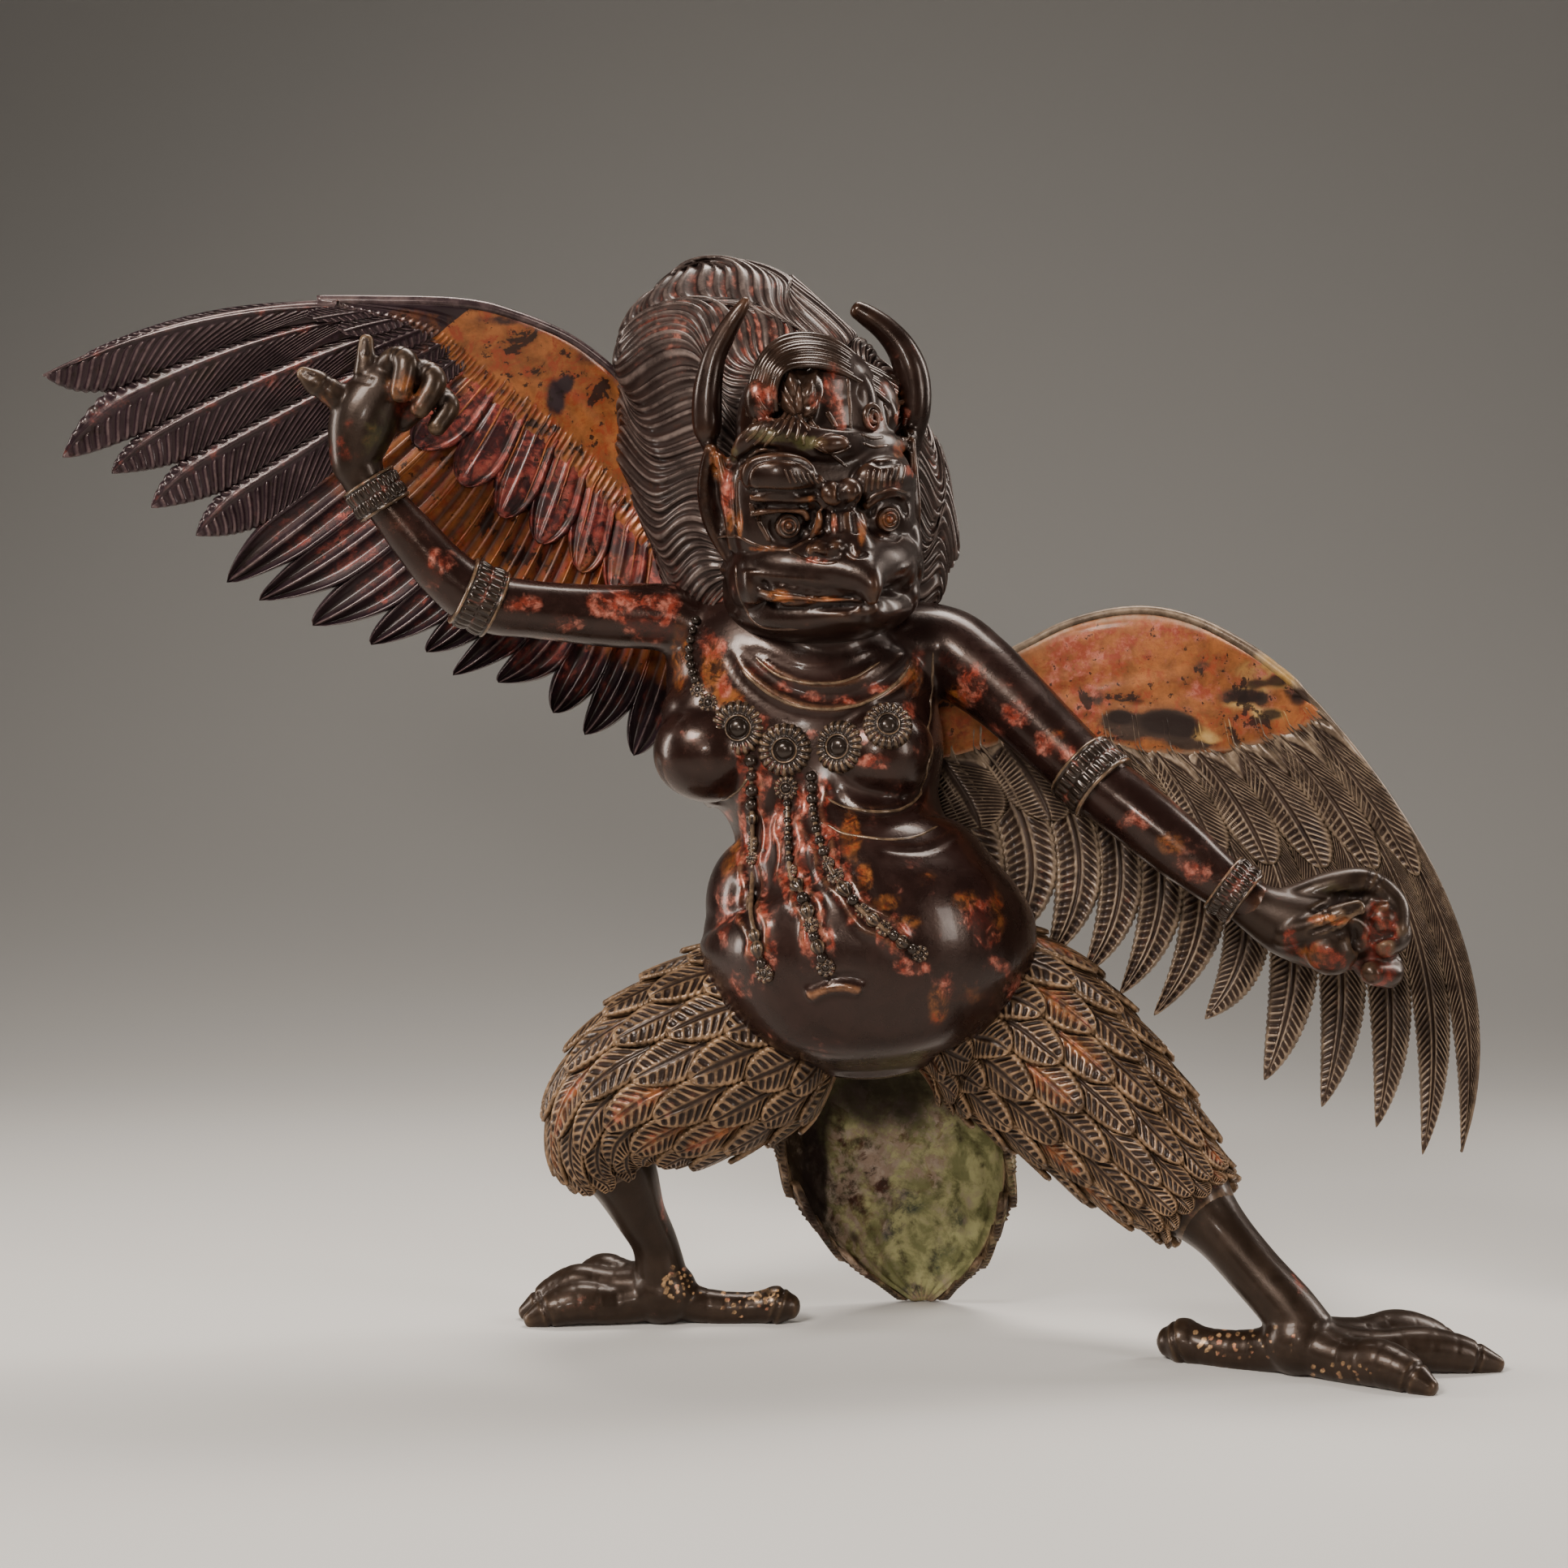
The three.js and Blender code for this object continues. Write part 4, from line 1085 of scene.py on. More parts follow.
def turned(profile, centre, axis, segments=36):
    """A form turned about an axis. Its profile is (radius, height) in shares."""
    bm = bmesh.new()
    verts = [bm.verts.new((radius * SHARE, 0, height * SHARE)) for radius, height in profile]
    edges = [bm.edges.new(pair) for pair in zip(verts, verts[1:])]
    bmesh.ops.spin(
        bm, geom=verts + edges, cent=(0, 0, 0), axis=(0, 0, 1), angle=2 * math.pi,
        steps=segments, use_merge=True,
    )
    bmesh.ops.remove_doubles(bm, verts=bm.verts, dist=1e-7)
    turn = Vector((0, 0, 1)).rotation_difference(Vector(axis)).to_matrix().to_4x4()
    bmesh.ops.transform(bm, matrix=Matrix.Translation(Vector(centre)) @ turn, verts=bm.verts)
    return mesh_of(bm)


# Thin raised lines on the crown, as on the face.
CROWN_RIDGES = [
    # Strands round the left lobe, down to the brow.
    ([(953, 452), (948, 466), (950, 480), (958, 495), (969, 510)], 2.2),
    ([(959, 450), (955, 464), (957, 477), (965, 492), (974, 505)], 2.2),
    ([(966, 462), (963, 474), (968, 486), (976, 498)], 2.0),
    ([(936, 500), (944, 512), (956, 520)], 2.0), ([(933, 486), (938, 498), (948, 508)], 2.0),
    # The pair at the right of the ornament and the one by the red panel.
    ([(992, 504), (1000, 516), (1010, 530)], 3.2), ([(984, 508), (990, 520), (998, 532)], 2.4),
    ([(1017, 506), (1024, 516), (1031, 528)], 3.6),
    # Combed strokes of the rim.
    ([(966, 508), (958, 520), (948, 532)], 2.4), ([(972, 510), (966, 524), (956, 538)], 2.4),
    ([(978, 512), (975, 526), (968, 542)], 2.6), ([(984, 516), (984, 530), (980, 545)], 2.2),
    ([(940, 520), (930, 534), (918, 546)], 2.4), ([(948, 524), (940, 538), (928, 550)], 2.4),
    ([(930, 516), (922, 528), (912, 540)], 2.2), ([(958, 530), (950, 541), (940, 552)], 2.2),
    ([(994, 532), (990, 540), (990, 550)], 2.0),
    # The almond jewel's edge.
    ([(1001, 547), (1011, 539), (1025, 535), (1040, 539), (1050, 547)], 2.0),
    ([(1001, 548), (1011, 555), (1025, 559), (1040, 555), (1050, 548)], 2.0),
    # Right of the red panel, and by the horn.
    ([(1044, 462), (1046, 486), (1048, 512), (1050, 530)], 2.4),
    ([(1109, 493), (1106, 504), (1100, 516)], 2.8), ([(1116, 512), (1114, 528), (1112, 544)], 2.8),
    ([(1060, 535), (1075, 540), (1090, 538)], 2.0), ([(1062, 546), (1078, 551), (1096, 548)], 2.0),
    ([(1088, 496), (1094, 510), (1094, 526)], 1.8),
]
CROWN_LEAVES = [
    # (tip, root, half width, thickness) of the ornament's leaves.
    ((980, 440), (984, 506), 17, 8), ((1006, 450), (988, 506), 14, 7), ((958, 446), (980, 504), 12, 7),
    ((971, 450), (981, 492), 9, 11), ((1000, 462), (989, 502), 9, 11), ((1008, 484), (990, 514), 8, 8),
    ((960, 474), (981, 512), 8, 8), ((982, 462), (985, 512), 8, 12),
]
# The scroll beside the horn: (pixel, radius in shares).
CROWN_SCROLL = ((1074, 516), 11)


def arch_strands():
    """Parallel strands, laid over each other like roof tiles, that arch over the crown."""
    outer, inner = np.array(ARCH_OUTER, float), np.array(ARCH_INNER, float)
    t = np.linspace(0, 1, 44)
    parts = []
    for k in range(ARCH_STRANDS):
        share = k / (ARCH_STRANDS - 1)
        line = spline(outer, t) * (1 - share) + spline(inner, t) * share
        line[:, 2] += 5 * math.sin(math.pi * min(0.95, share + 0.15))
        line[:, 1] += 0.9 * np.sin(9 * t + 2 * k)
        size = 3.6 * (0.55 + 0.45 * np.sin(math.pi * np.clip(t, 0.05, 0.95)) ** 0.5)
        strand = face_tube(np.column_stack([line, size, 1.3 * size]), sides=10, steps=150)
        set_tone(strand, "calm", 0.55)
        parts.append(strand)
    return parts


def crown_parts(clay):
    """The arch, the ornament's leaves, the scroll and the combed strands under the arch."""
    parts = arch_strands()
    parts += [ridge(clay, pixels, radius) for pixels, radius in CROWN_RIDGES]
    parts += [leaf_on(clay, tip, root, wide, thick) for tip, root, wide, thick in CROWN_LEAVES]
    parts += scroll(clay, *CROWN_SCROLL)
    return [part for part in parts if part is not None]


def leaf_on(clay, tip, root, half, thick):
    """A pointed leaf with a rib, lying on the surface between two pixels."""
    spots, normals = clay.seen([root, tip])
    if len(spots) < 2:
        return None
    along = spots[1] - spots[0]
    normal = unit(normals.mean(0))
    side = unit(np.cross(along, normal))

    def shape(u, v):
        w = np.cos(2 * math.pi * u)
        front = np.sin(2 * math.pi * u)
        wide = half * SHARE * np.sin(math.pi * np.clip(v, 0, 1) ** 0.8) ** 0.8
        lift = thick * SHARE * front * (1 - 0.4 * np.abs(w)) * np.sin(math.pi * v) ** 0.5
        lift += 1.5 * SHARE * np.exp(-((w / 0.18) ** 2)) * (front > 0) * np.sin(math.pi * v)
        base = spots[0] + along * v[:, None] + normal * (2 * SHARE * np.sin(math.pi * v))[:, None]
        return base + side * (w * wide)[:, None] + normal * lift[:, None]

    return grid(20, 16, shape)


def scroll(clay, pixel, radius):
    """A coiled strand lying on the surface."""
    spots, normals = clay.seen([pixel])
    if len(spots) == 0:
        return []
    normal = normals[0]
    side = unit(np.cross(UP, normal))
    rise = np.cross(normal, side)
    t = np.linspace(0, 1, 30)
    angle = t * 3.6 * math.pi
    reach = radius * SHARE * (1 - 0.78 * t)
    line = spots[0] + side * (np.cos(angle) * reach)[:, None]
    line = line + rise * (np.sin(angle) * reach * 1.25)[:, None]
    line = line + normal * (2.5 * SHARE * t)[:, None]
    size = 3.4 * (1 - 0.35 * t)
    return [wire(line, size, size, sides=10, steps=90, front=normal)]


def face_parts(clay):
    """What lies on the skin of the face: raised lines, eyes and the hair of the brows."""
    parts = [ridge(clay, pixels, radius) for pixels, radius in FACE_RIDGES]
    for pixel, radius in EYES:
        spots, normals = clay.seen([pixel])
        scale = radius / EYE_SIZE
        profile = [(across * scale, up * scale) for across, up in EYE_PROFILE]
        parts += [turned(profile, spot + normal * 1.6 * SHARE, unit(0.6 * normal + HEAD_AHEAD))
                  for spot, normal in zip(spots, normals)]
    parts += brow_hairs(clay)
    return [part for part in parts if part is not None]


def brow_hairs(clay):
    """Combed lines over both brows."""
    parts = []
    for i in range(6):
        x = 966 + 7 * i
        parts.append(ridge(clay, [(x, 577 + i), (x + 4, 586 + i), (x + 9, 597)], 1.3))
    for i in range(7):
        x = 1068 + 7.5 * i
        parts.append(ridge(clay, [(x + 2, 578 - i), (x, 593 - i), (x - 2, 609 - 2 * i)], 1.9))
    return parts


# Hair

# The mane is a skin over loops, from the one behind the face to the one at the back.
HAIR_LOOPS = [
    [
        (-46, 56, 663), (-60, 36, 723), (-60, 38, 805), (-37, 58, 887), (10, 70, 926), (49, 72, 923),
        (91, 78, 903), (117, 82, 856), (132, 88, 774), (117, 86, 671), (35, 74, 640),
    ],
    [
        (-74, 100, 640), (-128, 108, 747), (-157, 130, 867), (-141, 144, 964), (-74, 150, 1010),
        (0, 148, 1000), (47, 144, 933), (107, 136, 887), (153, 128, 813), (147, 120, 702), (34, 140, 612),
    ],
    [
        (-51, 164, 669), (-103, 188, 764), (-123, 204, 877), (-111, 212, 942), (-62, 214, 977),
        (0, 212, 959), (41, 206, 902), (86, 200, 856), (119, 190, 795), (107, 174, 706), (27, 172, 603),
    ],
]
HAIR_INNER = (31, 70, 795)
HAIR_BACK = (5, 232, 805)
HAIR_MIDDLE = (21, 140, 805)
HAIR_LOCKS = 22
# How far strands and locks stand out, in shares, and how far they lean and wave, in turns.
STRAND_DEPTH = 4.4
LOCK_DEPTH = 6.5
ROLL_DEPTH = 5.0
FLAME_LEAN = 0.062
WAVE_REACH = 0.024


def through(stops, v):
    """A smooth line through stops, each an array of points, with v from 0 to 1."""
    spans = len(stops) - 1
    wide = [2 * stops[0] - stops[1], *stops, 2 * stops[-1] - stops[-2]]
    s = np.clip(v, 0, 1) * spans
    i = np.minimum(s.astype(int), spans - 1)
    f = (s - i)[:, None]
    return cubic(*(np.choose(i[:, None], wide[k:k + spans]) for k in range(4)), f)


def hair_mesh(strands, rows=96, per_strand=4):
    """The mane, as combed strands gathered in locks."""
    loops = [at(loop) for loop in HAIR_LOOPS]
    inner, back, middle = at(HAIR_INNER), at(HAIR_BACK), at(HAIR_MIDDLE)
    per_lock = strands // HAIR_LOCKS
    strands = per_lock * HAIR_LOCKS

    def shape(u, v):
        turn = 2 * math.pi * u
        lock = u * HAIR_LOCKS
        lean = -FLAME_LEAN * np.sin(turn) * (smooth_step(0.05, 0.75, v) - 0.35)
        low = 0.45 + 0.55 * smooth_step(0.55, -0.35, np.cos(turn))
        swing = np.sin(2 * math.pi * (4.2 * v + 0.25 * np.sin(turn * 3) + 0.25 * np.cos(turn * 5)))
        wave = WAVE_REACH * low * swing * smooth_step(0.1, 0.3, v)
        around = u + lean + wave
        stops = [np.broadcast_to(inner, (len(u), 3))]
        stops += [spline(loop, around, closed=True) for loop in loops]
        stops.append(np.broadcast_to(back, (len(u), 3)))
        spot = through(stops, v)
        outward = unit(spot - middle)
        uneven = u + 0.0016 * np.sin(2 * math.pi * HAIR_LOCKS * u) + 0.0011 * np.sin(2 * math.pi * 47 * u)
        strand = np.abs(np.sin(math.pi * uneven * strands)) ** 1.2
        in_lock = lock - np.floor(lock)
        crown = np.sqrt(np.clip(1 - (2 * in_lock - 1) ** 2, 0, 1))
        ends = np.sin(math.pi * np.clip(v, 0, 1)) ** 0.6
        step = 1.5 * np.sin(7 * np.floor(u * strands) + 11 * v)
        lift = STRAND_DEPTH * (strand - 0.5) + LOCK_DEPTH * (crown - 0.7) + step * strand * 0.35
        roll = ROLL_DEPTH * np.exp(-(((v - 0.5) / 0.06) ** 2)) * np.sin(lock * 2.4) * crown
        co = spot + outward * ((lift + roll) * ends * SHARE)[:, None]
        warm = 0.3 + 0.3 * np.sin(turn * 3 + 1.5) * np.sin(5 * v)
        return co, {
            "red": warm * (1 - strand), "ochre": 0.35 * (1 - strand) * (1 - warm),
            "crest": (strand**3 - 0.35) * (0.75 + 0.25 * np.sin(9 * v + 13 * turn)),
        }

    return welded([grid(strands * per_strand, rows, shape)])


# Feathers

class Plume:
    """How a feather or scale looks. Heights are metres; places across it run from -1 to 1."""

    # How many columns the front and the back have, and how many barbs.
    columns = 26
    back_columns = 8
    barbs = 30
    # The blade: its thickness, its raised rim and how worn that is, and how it stands off.
    thick = 0.0014
    rim = 0.0003
    rim_wear = 0.0
    lift = (0.0, 0.0)
    tilt = 0.0
    # The rib, which may be split in two ridges, and the groove at each side of it.
    rib = 0.0007
    rib_at = 0.0
    rib_width = 0.1
    split = 0.0
    groove = 0.0
    groove_at = 0.36
    groove_width = 0.15
    # The barbs: their height, where they start and end, their slant and how worn they are.
    barb = 0.00035
    barb_from = 0.16
    barb_to = 0.99
    slant = 0.16
    crest = 0.6
    # The outline.
    tip_from = 0.75
    tip_power = 0.72
    root_width = 1.0

    def __init__(self, **chosen):
        for name, value in chosen.items():
            setattr(self, name, value)

    def width(self, along):
        """Half the width at a place along the feather, as a share of the widest."""
        to_tip = np.clip((along - self.tip_from) / (1 - self.tip_from), 0, 1)
        tip = np.clip(1 - to_tip**1.7, 0, 1) ** self.tip_power
        root = self.root_width + (1 - self.root_width) * smooth_step(0, 0.6, along)
        return tip * root * np.sqrt(smooth_step(0, 0.03, along))


# The height across one barb, from valley to valley, as shares.
BARB_PROFILE = np.array([0.0, 0.55, 1.0, 0.75])


def plume(sheet, middle, half, start, end, look, tones=None):
    """A closed feather on a sheet, whose rows run along its barbs as chevrons.

    Middle and half are places across the sheet, and start and end places down it.
    """
    front_share = look.columns / (look.columns + look.back_columns)
    per_barb = len(BARB_PROFILE) if look.barb > 0 else 2
    rows = per_barb * look.barbs

    def shape(u, v):
        in_front = u <= front_share
        behind = (u - front_share) / (1 - front_share)
        across = np.where(in_front, 2 * u / front_share - 1, 1 - 2 * behind)
        if look.split > 0:
            # The columns stand closer at the rib, which is a groove between two ridges.
            across = np.sign(across) * np.abs(across) ** 1.35
        from_rib = across - look.rib_at
        along = v + look.slant * np.abs(from_rib) * (1 - v) * smooth_step(0, 0.05, v)
        along = np.minimum(along, 1.0)
        width = look.width(along)
        barbed = np.zeros(len(v))
        if look.barb > 0:
            barbed = BARB_PROFILE[np.round(v * rows).astype(int) % per_barb]
            width = width * (1 - 0.07 * (1 - barbed) * np.abs(across) ** 3)
        s = middle + half * across * width
        t = start + (end - start) * along
        spot, normal = sheet.spot(s, t), sheet.normal(s, t)
        close = np.sqrt(np.clip(smooth_step(0, 0.03, v) * smooth_step(0, 0.05, 1 - v), 0, 1))
        edge = 1 - np.abs(across) ** 8
        lift = look.lift[0] + (look.lift[1] - look.lift[0]) * along + look.tilt * across * width
        body = look.thick * edge * close
        rim = look.rim * np.exp(-(((np.abs(across) - 0.86) / 0.1) ** 2))
        rib_edge = (np.abs(from_rib) - look.split) / look.rib_width
        rib = look.rib * np.exp(-(rib_edge**2)) * smooth_step(0, 0.12, 1 - along)
        channel = np.exp(-(((np.abs(from_rib) - look.groove_at) / look.groove_width) ** 2))
        combed = smooth_step(look.barb_from, look.barb_from + 0.08, np.abs(from_rib))
        combed = combed * smooth_step(0, 0.08, look.barb_to - np.abs(across))
        relief = rim + rib - look.groove * channel + look.barb * (barbed - 0.4) * combed
        relief = relief * close * smooth_step(0, 0.02, 1 - np.abs(across))
        height = lift + np.where(in_front, body + relief, -body - 0.4 * relief)
        given = dict(tones(across, along)) if tones else {}
        given["ochre"] = given.get("ochre", 0) * np.where(in_front, 1, 0.45)
        inner = 1 - np.abs(across) ** 4
        shine = (barbed**3 - 0.35) * combed * inner * look.crest
        shine += look.rim_wear * np.exp(-(((np.abs(across) - 0.88) / 0.09) ** 2))
        shine += look.rim_wear * np.exp(-(rib_edge**2)) * (look.split > 0)
        given["crest"] = np.where(in_front, shine, 0)
        given["calm"] = 0.7 * smooth_step(0.7, 0.85, np.abs(across)) * (look.rim_wear == 0)
        return spot + normal * height[:, None], given

    return grid(look.columns + look.back_columns, rows, shape)


class Wing:
    """A wing's surface. Across, it runs from its leading edge to the body, and down to the tips."""

    root_at = 0.24

    def __init__(self, top, root, bend, tips):
        """Four lines across the wing: its upper edge, the feathers' roots, their bend and tips."""
        self.top, self.root, self.bend, self.tips = (at(line) for line in (top, root, bend, tips))
        self.feathers = len(tips)
        self.face = 1.0
        middle = np.array([0.5])
        if self.normal(middle, middle)[0] @ FRONT < 0:
            self.face = -1.0

    def spot(self, s, v):
        s, v = np.clip(s, 0, 1), np.clip(v, 0, 1)
        start, bend = spline(self.root, s), spline(self.bend, s)
        end = spline(self.tips, (s * self.feathers - 0.5) / (self.feathers - 1))
        pull = 2 * bend - 0.5 * (start + end)
        t = np.clip((v - self.root_at) / (1 - self.root_at), 0, 1)[:, None]
        lower = (1 - t) ** 2 * start + 2 * t * (1 - t) * pull + t**2 * end
        share = np.clip(v / self.root_at, 0, 1)[:, None]
        upper = spline(self.top, s) * (1 - share) + start * share
        return np.where((v < self.root_at)[:, None], upper, lower)

    def length(self, s):
        """How long the flight feather at s is."""
        tip, root = self.spot(np.array([s, s]), np.array([1.0, 0.2]))
        return np.linalg.norm(tip - root)

    def normal(self, s, v):
        step = 0.012
        s, v = np.clip(s, step, 1 - step), np.clip(v, step, 1 - step)
        across = self.spot(s + step, v) - self.spot(s - step, v)
        down = self.spot(s, v + step) - self.spot(s, v - step)
        return unit(np.cross(across, down)) * self.face


class Limb:
    """The skin of a limb. Across, it runs round the limb, and down along it."""

    def __init__(self, rings, front=FRONT):
        rings = np.asarray(rings, float)
        self.centres = at(rings[:, :3])
        self.path = np.hstack([self.centres, rings[:, 3:5] * SHARE])
        self.front = front

    def parts(self, s, v):
        v = np.clip(v, 0, 1)
        spot = spline(self.path, v)
        _, side, face = spline_frame(self.centres, v, self.front)
        angle = 2 * math.pi * s
        across = side * (np.sin(angle) * spot[:, 3])[:, None]
        out = face * (np.cos(angle) * spot[:, 4])[:, None]
        return spot[:, :3], across + out

    def spot(self, s, v):
        centre, reach = self.parts(s, v)
        return centre + reach

    def normal(self, s, v):
        return unit(self.parts(s, v)[1])


LEFT_WING = Wing(
    top=[
        (-432, 66, 965), (-308, 75, 964), (-249, 95, 953), (-193, 125, 929), (-141, 150, 882),
        (-82, 154, 795), (-31, 136, 692),
    ],
    root=[
        (-422, 65, 963), (-339, 80, 941), (-298, 110, 901), (-247, 136, 856), (-190, 152, 803),
        (-132, 158, 738), (-41, 142, 651),
    ],
    bend=[
        (-561, 71, 950), (-494, 92, 873), (-411, 116, 803), (-319, 136, 731), (-236, 148, 684),
        (-154, 154, 634), (-67, 146, 584),
    ],
    tips=[
        (-693, 84, 897), (-678, 94, 821), (-633, 100, 806), (-597, 106, 774), (-556, 112, 748),
        (-528, 118, 704), (-498, 122, 687), (-448, 128, 663), (-393, 132, 645), (-341, 136, 638),
        (-316, 138, 616), (-273, 142, 609), (-221, 146, 580), (-191, 148, 559), (-144, 148, 539),
        (-103, 146, 521),
    ],
)
RIGHT_WING = Wing(
    top=[
        (476, 86, 610), (439, 102, 640), (389, 124, 668), (336, 138, 678), (274, 146, 666), (206, 146, 633),
        (113, 130, 599),
    ],
    root=[
        (504, 80, 584), (465, 100, 563), (411, 122, 548), (352, 136, 546), (294, 144, 556), (206, 144, 553),
        (113, 130, 527),
    ],
    bend=[
        (626, 38, 373), (568, 56, 387), (494, 84, 394), (415, 110, 409), (339, 128, 430), (258, 134, 450),
        (154, 130, 445),
    ],
    tips=[
        (621, 24, 180), (586, 28, 176), (545, 36, 200), (497, 48, 217), (446, 62, 240), (394, 84, 294),
        (348, 98, 296), (317, 108, 315), (284, 116, 333), (250, 122, 348), (211, 124, 360), (170, 124, 373),
    ],
)


def coverts(wing, ticks, tick_height, tones):
    """The smooth upper part of a wing, whose lower border may be a comb of short ticks."""
    lower = wing.root_at + 0.02
    tick_from, tick_to = 0.72, 0.94

    def shape(u, v):
        in_front = v <= 0.6
        down = np.where(in_front, v / 0.6, (1 - v) / 0.4)
        s, t = u, down * lower
        spot, normal = wing.spot(s, t), wing.normal(s, t)
        thick = 0.0019 + 0.0007 * smooth_step(0.5, 1.0, down)
        edge = np.sqrt(np.clip(1 - (2 * np.abs(down - 0.5)) ** 10, 0, 1))
        edge = edge * np.sqrt(np.clip(1 - (2 * np.abs(u - 0.5)) ** 60, 0, 1))
        band = smooth_step(tick_from, tick_from + 0.03, down) * smooth_step(0, 0.03, tick_to - down)
        tick = np.clip(np.cos(2 * math.pi * ticks * u) + 0.35, 0, 1)
        border = np.exp(-(((down - tick_from + 0.03) / 0.025) ** 2)) * 0.0002
        relief = band * tick_height * (tick - 0.18) + border
        relief += 0.00015 * np.sin(19 * u + 5 * np.sin(7 * down)) * np.sin(math.pi * down) ** 2
        height = thick * edge + np.where(in_front, relief * edge, 0)
        return spot + normal * np.where(in_front, height, -height)[:, None], tones(s, down)

    return grid(ticks * 6, 44, shape)


# The spar's radii in metres, at places along it.
SPAR_PLACES = (0, 0.45, 0.8, 1)
SPAR_RADII = (0.0016, 0.0022, 0.0016, 0.0006)


def edge_spar(wing):
    """The rounded spar along the wing's outline, from the body to the first tip."""
    s = np.linspace(1, 0, 14)
    upper = wing.spot(s, np.zeros(14))
    v = np.linspace(0.1, 1, 14)
    lower = wing.spot(np.full(14, 0.012), v)
    line = np.vstack([upper, lower])
    t = np.linspace(0, 1, len(line))
    size = np.interp(t, SPAR_PLACES, SPAR_RADII) / SHARE
    return wire(line, size, size, sides=12, steps=150)


# Paint on the wings, by tone, as on the body.
LEFT_WING_PAINT = {
    "red": [
        (760, 640, 50, 40, 0.35), (560, 480, 40, 30, 0.3), (690, 620, 70, 50, 0.35),
        (630, 590, 30, 30, 0.4), (740, 690, 40, 16, 0.3), (590, 740, 60, 40, 0.25), (690, 830, 60, 40, 0.3),
    ],
    "ochre": [
        (685, 490, 14, 26, -0.9), (700, 470, 10, 12, -0.8), (500, 365, 60, 10, -0.7),
        (430, 370, 60, 14, -0.8), (560, 380, 40, 6, -0.6), (620, 395, 50, 8, -0.5),
        (730, 440, 40, 14, -0.5), (800, 560, 16, 40, -0.4), (640, 440, 60, 24, 0.3),
        (740, 560, 60, 60, 0.3), (585, 470, 30, 18, 0.4), (500, 430, 50, 14, 0.3), (690, 700, 90, 30, 0.35),
    ],
    "green": [
        (800, 700, 20, 30, 0.25),
    ],
}
RIGHT_WING_PAINT = {
    "red": [
        (1490, 850, 30, 14, 0.45), (1340, 880, 22, 12, 0.4), (1440, 780, 40, 10, 0.5),
        (1600, 820, 24, 8, 0.4), (1330, 830, 40, 40, 0.4), (1400, 800, 50, 14, 0.4),
    ],
    "ochre": [
        (1436, 892, 36, 17, -1.1), (1535, 860, 30, 12, -1.1), (1470, 912, 30, 12, -1.0),
        (1380, 890, 20, 14, -1.0), (1545, 790, 12, 8, -0.9), (1560, 880, 20, 8, -0.9),
        (1390, 905, 18, 10, -0.6), (1600, 850, 16, 14, -0.7), (1560, 800, 30, 12, 0.4),
        (1420, 820, 50, 20, 0.3), (1630, 900, 20, 20, -0.5), (1560, 830, 44, 24, -0.45),
        (1480, 820, 12, 6, -0.6), (1590, 840, 14, 8, -0.8), (1350, 860, 12, 8, -0.6),
    ],
    "green": [
        (1560, 830, 50, 26, 0.9), (1500, 905, 36, 12, 0.9), (1590, 880, 30, 16, 0.8),
        (1530, 880, 26, 16, 1.0), (1590, 815, 30, 10, 0.9), (1495, 885, 22, 22, 0.8),
    ],
    "crest": [
        (1432, 890, 30, 15, -1.2), (1380, 884, 16, 9, -1.2), (1462, 898, 22, 12, -1.0),
        (1535, 858, 26, 9, -1.1), (1576, 838, 15, 9, -1.0), (1548, 842, 16, 6, -0.9),
        (1566, 880, 16, 7, -1.0), (1400, 866, 14, 4, -0.8), (1600, 862, 12, 12, -0.8),
    ],
}


def row_of_plumes(wing, places, half, start, end, look, tones=None):
    """Like feathers side by side."""
    return [plume(wing, place, half, start, end, look, tones) for place in places]


# How wide a flight feather is, against its share of the wing's width.
OVERLAP = 1.12


def valley_of(across):
    """1 in the valleys at both sides of a feather's rib."""
    return np.exp(-(((np.abs(across) - 0.44) / 0.2) ** 2))


def red_rib(across, along):
    """The tones of the outer feathers of the raised wing."""
    return {"red": 0.05 + 0.22 * np.exp(-(((across + 0.5) / 0.25) ** 2))}


def red_valleys(across, along):
    """The tones of the inner feathers of the raised wing."""
    upper = 1 - smooth_step(0.78, 0.92, along)
    return {
        "red": 0.42 * valley_of(across) * upper + 0.12 * upper,
        "ochre": 0.62 * upper * smooth_step(0.7, 0.5, along),
    }


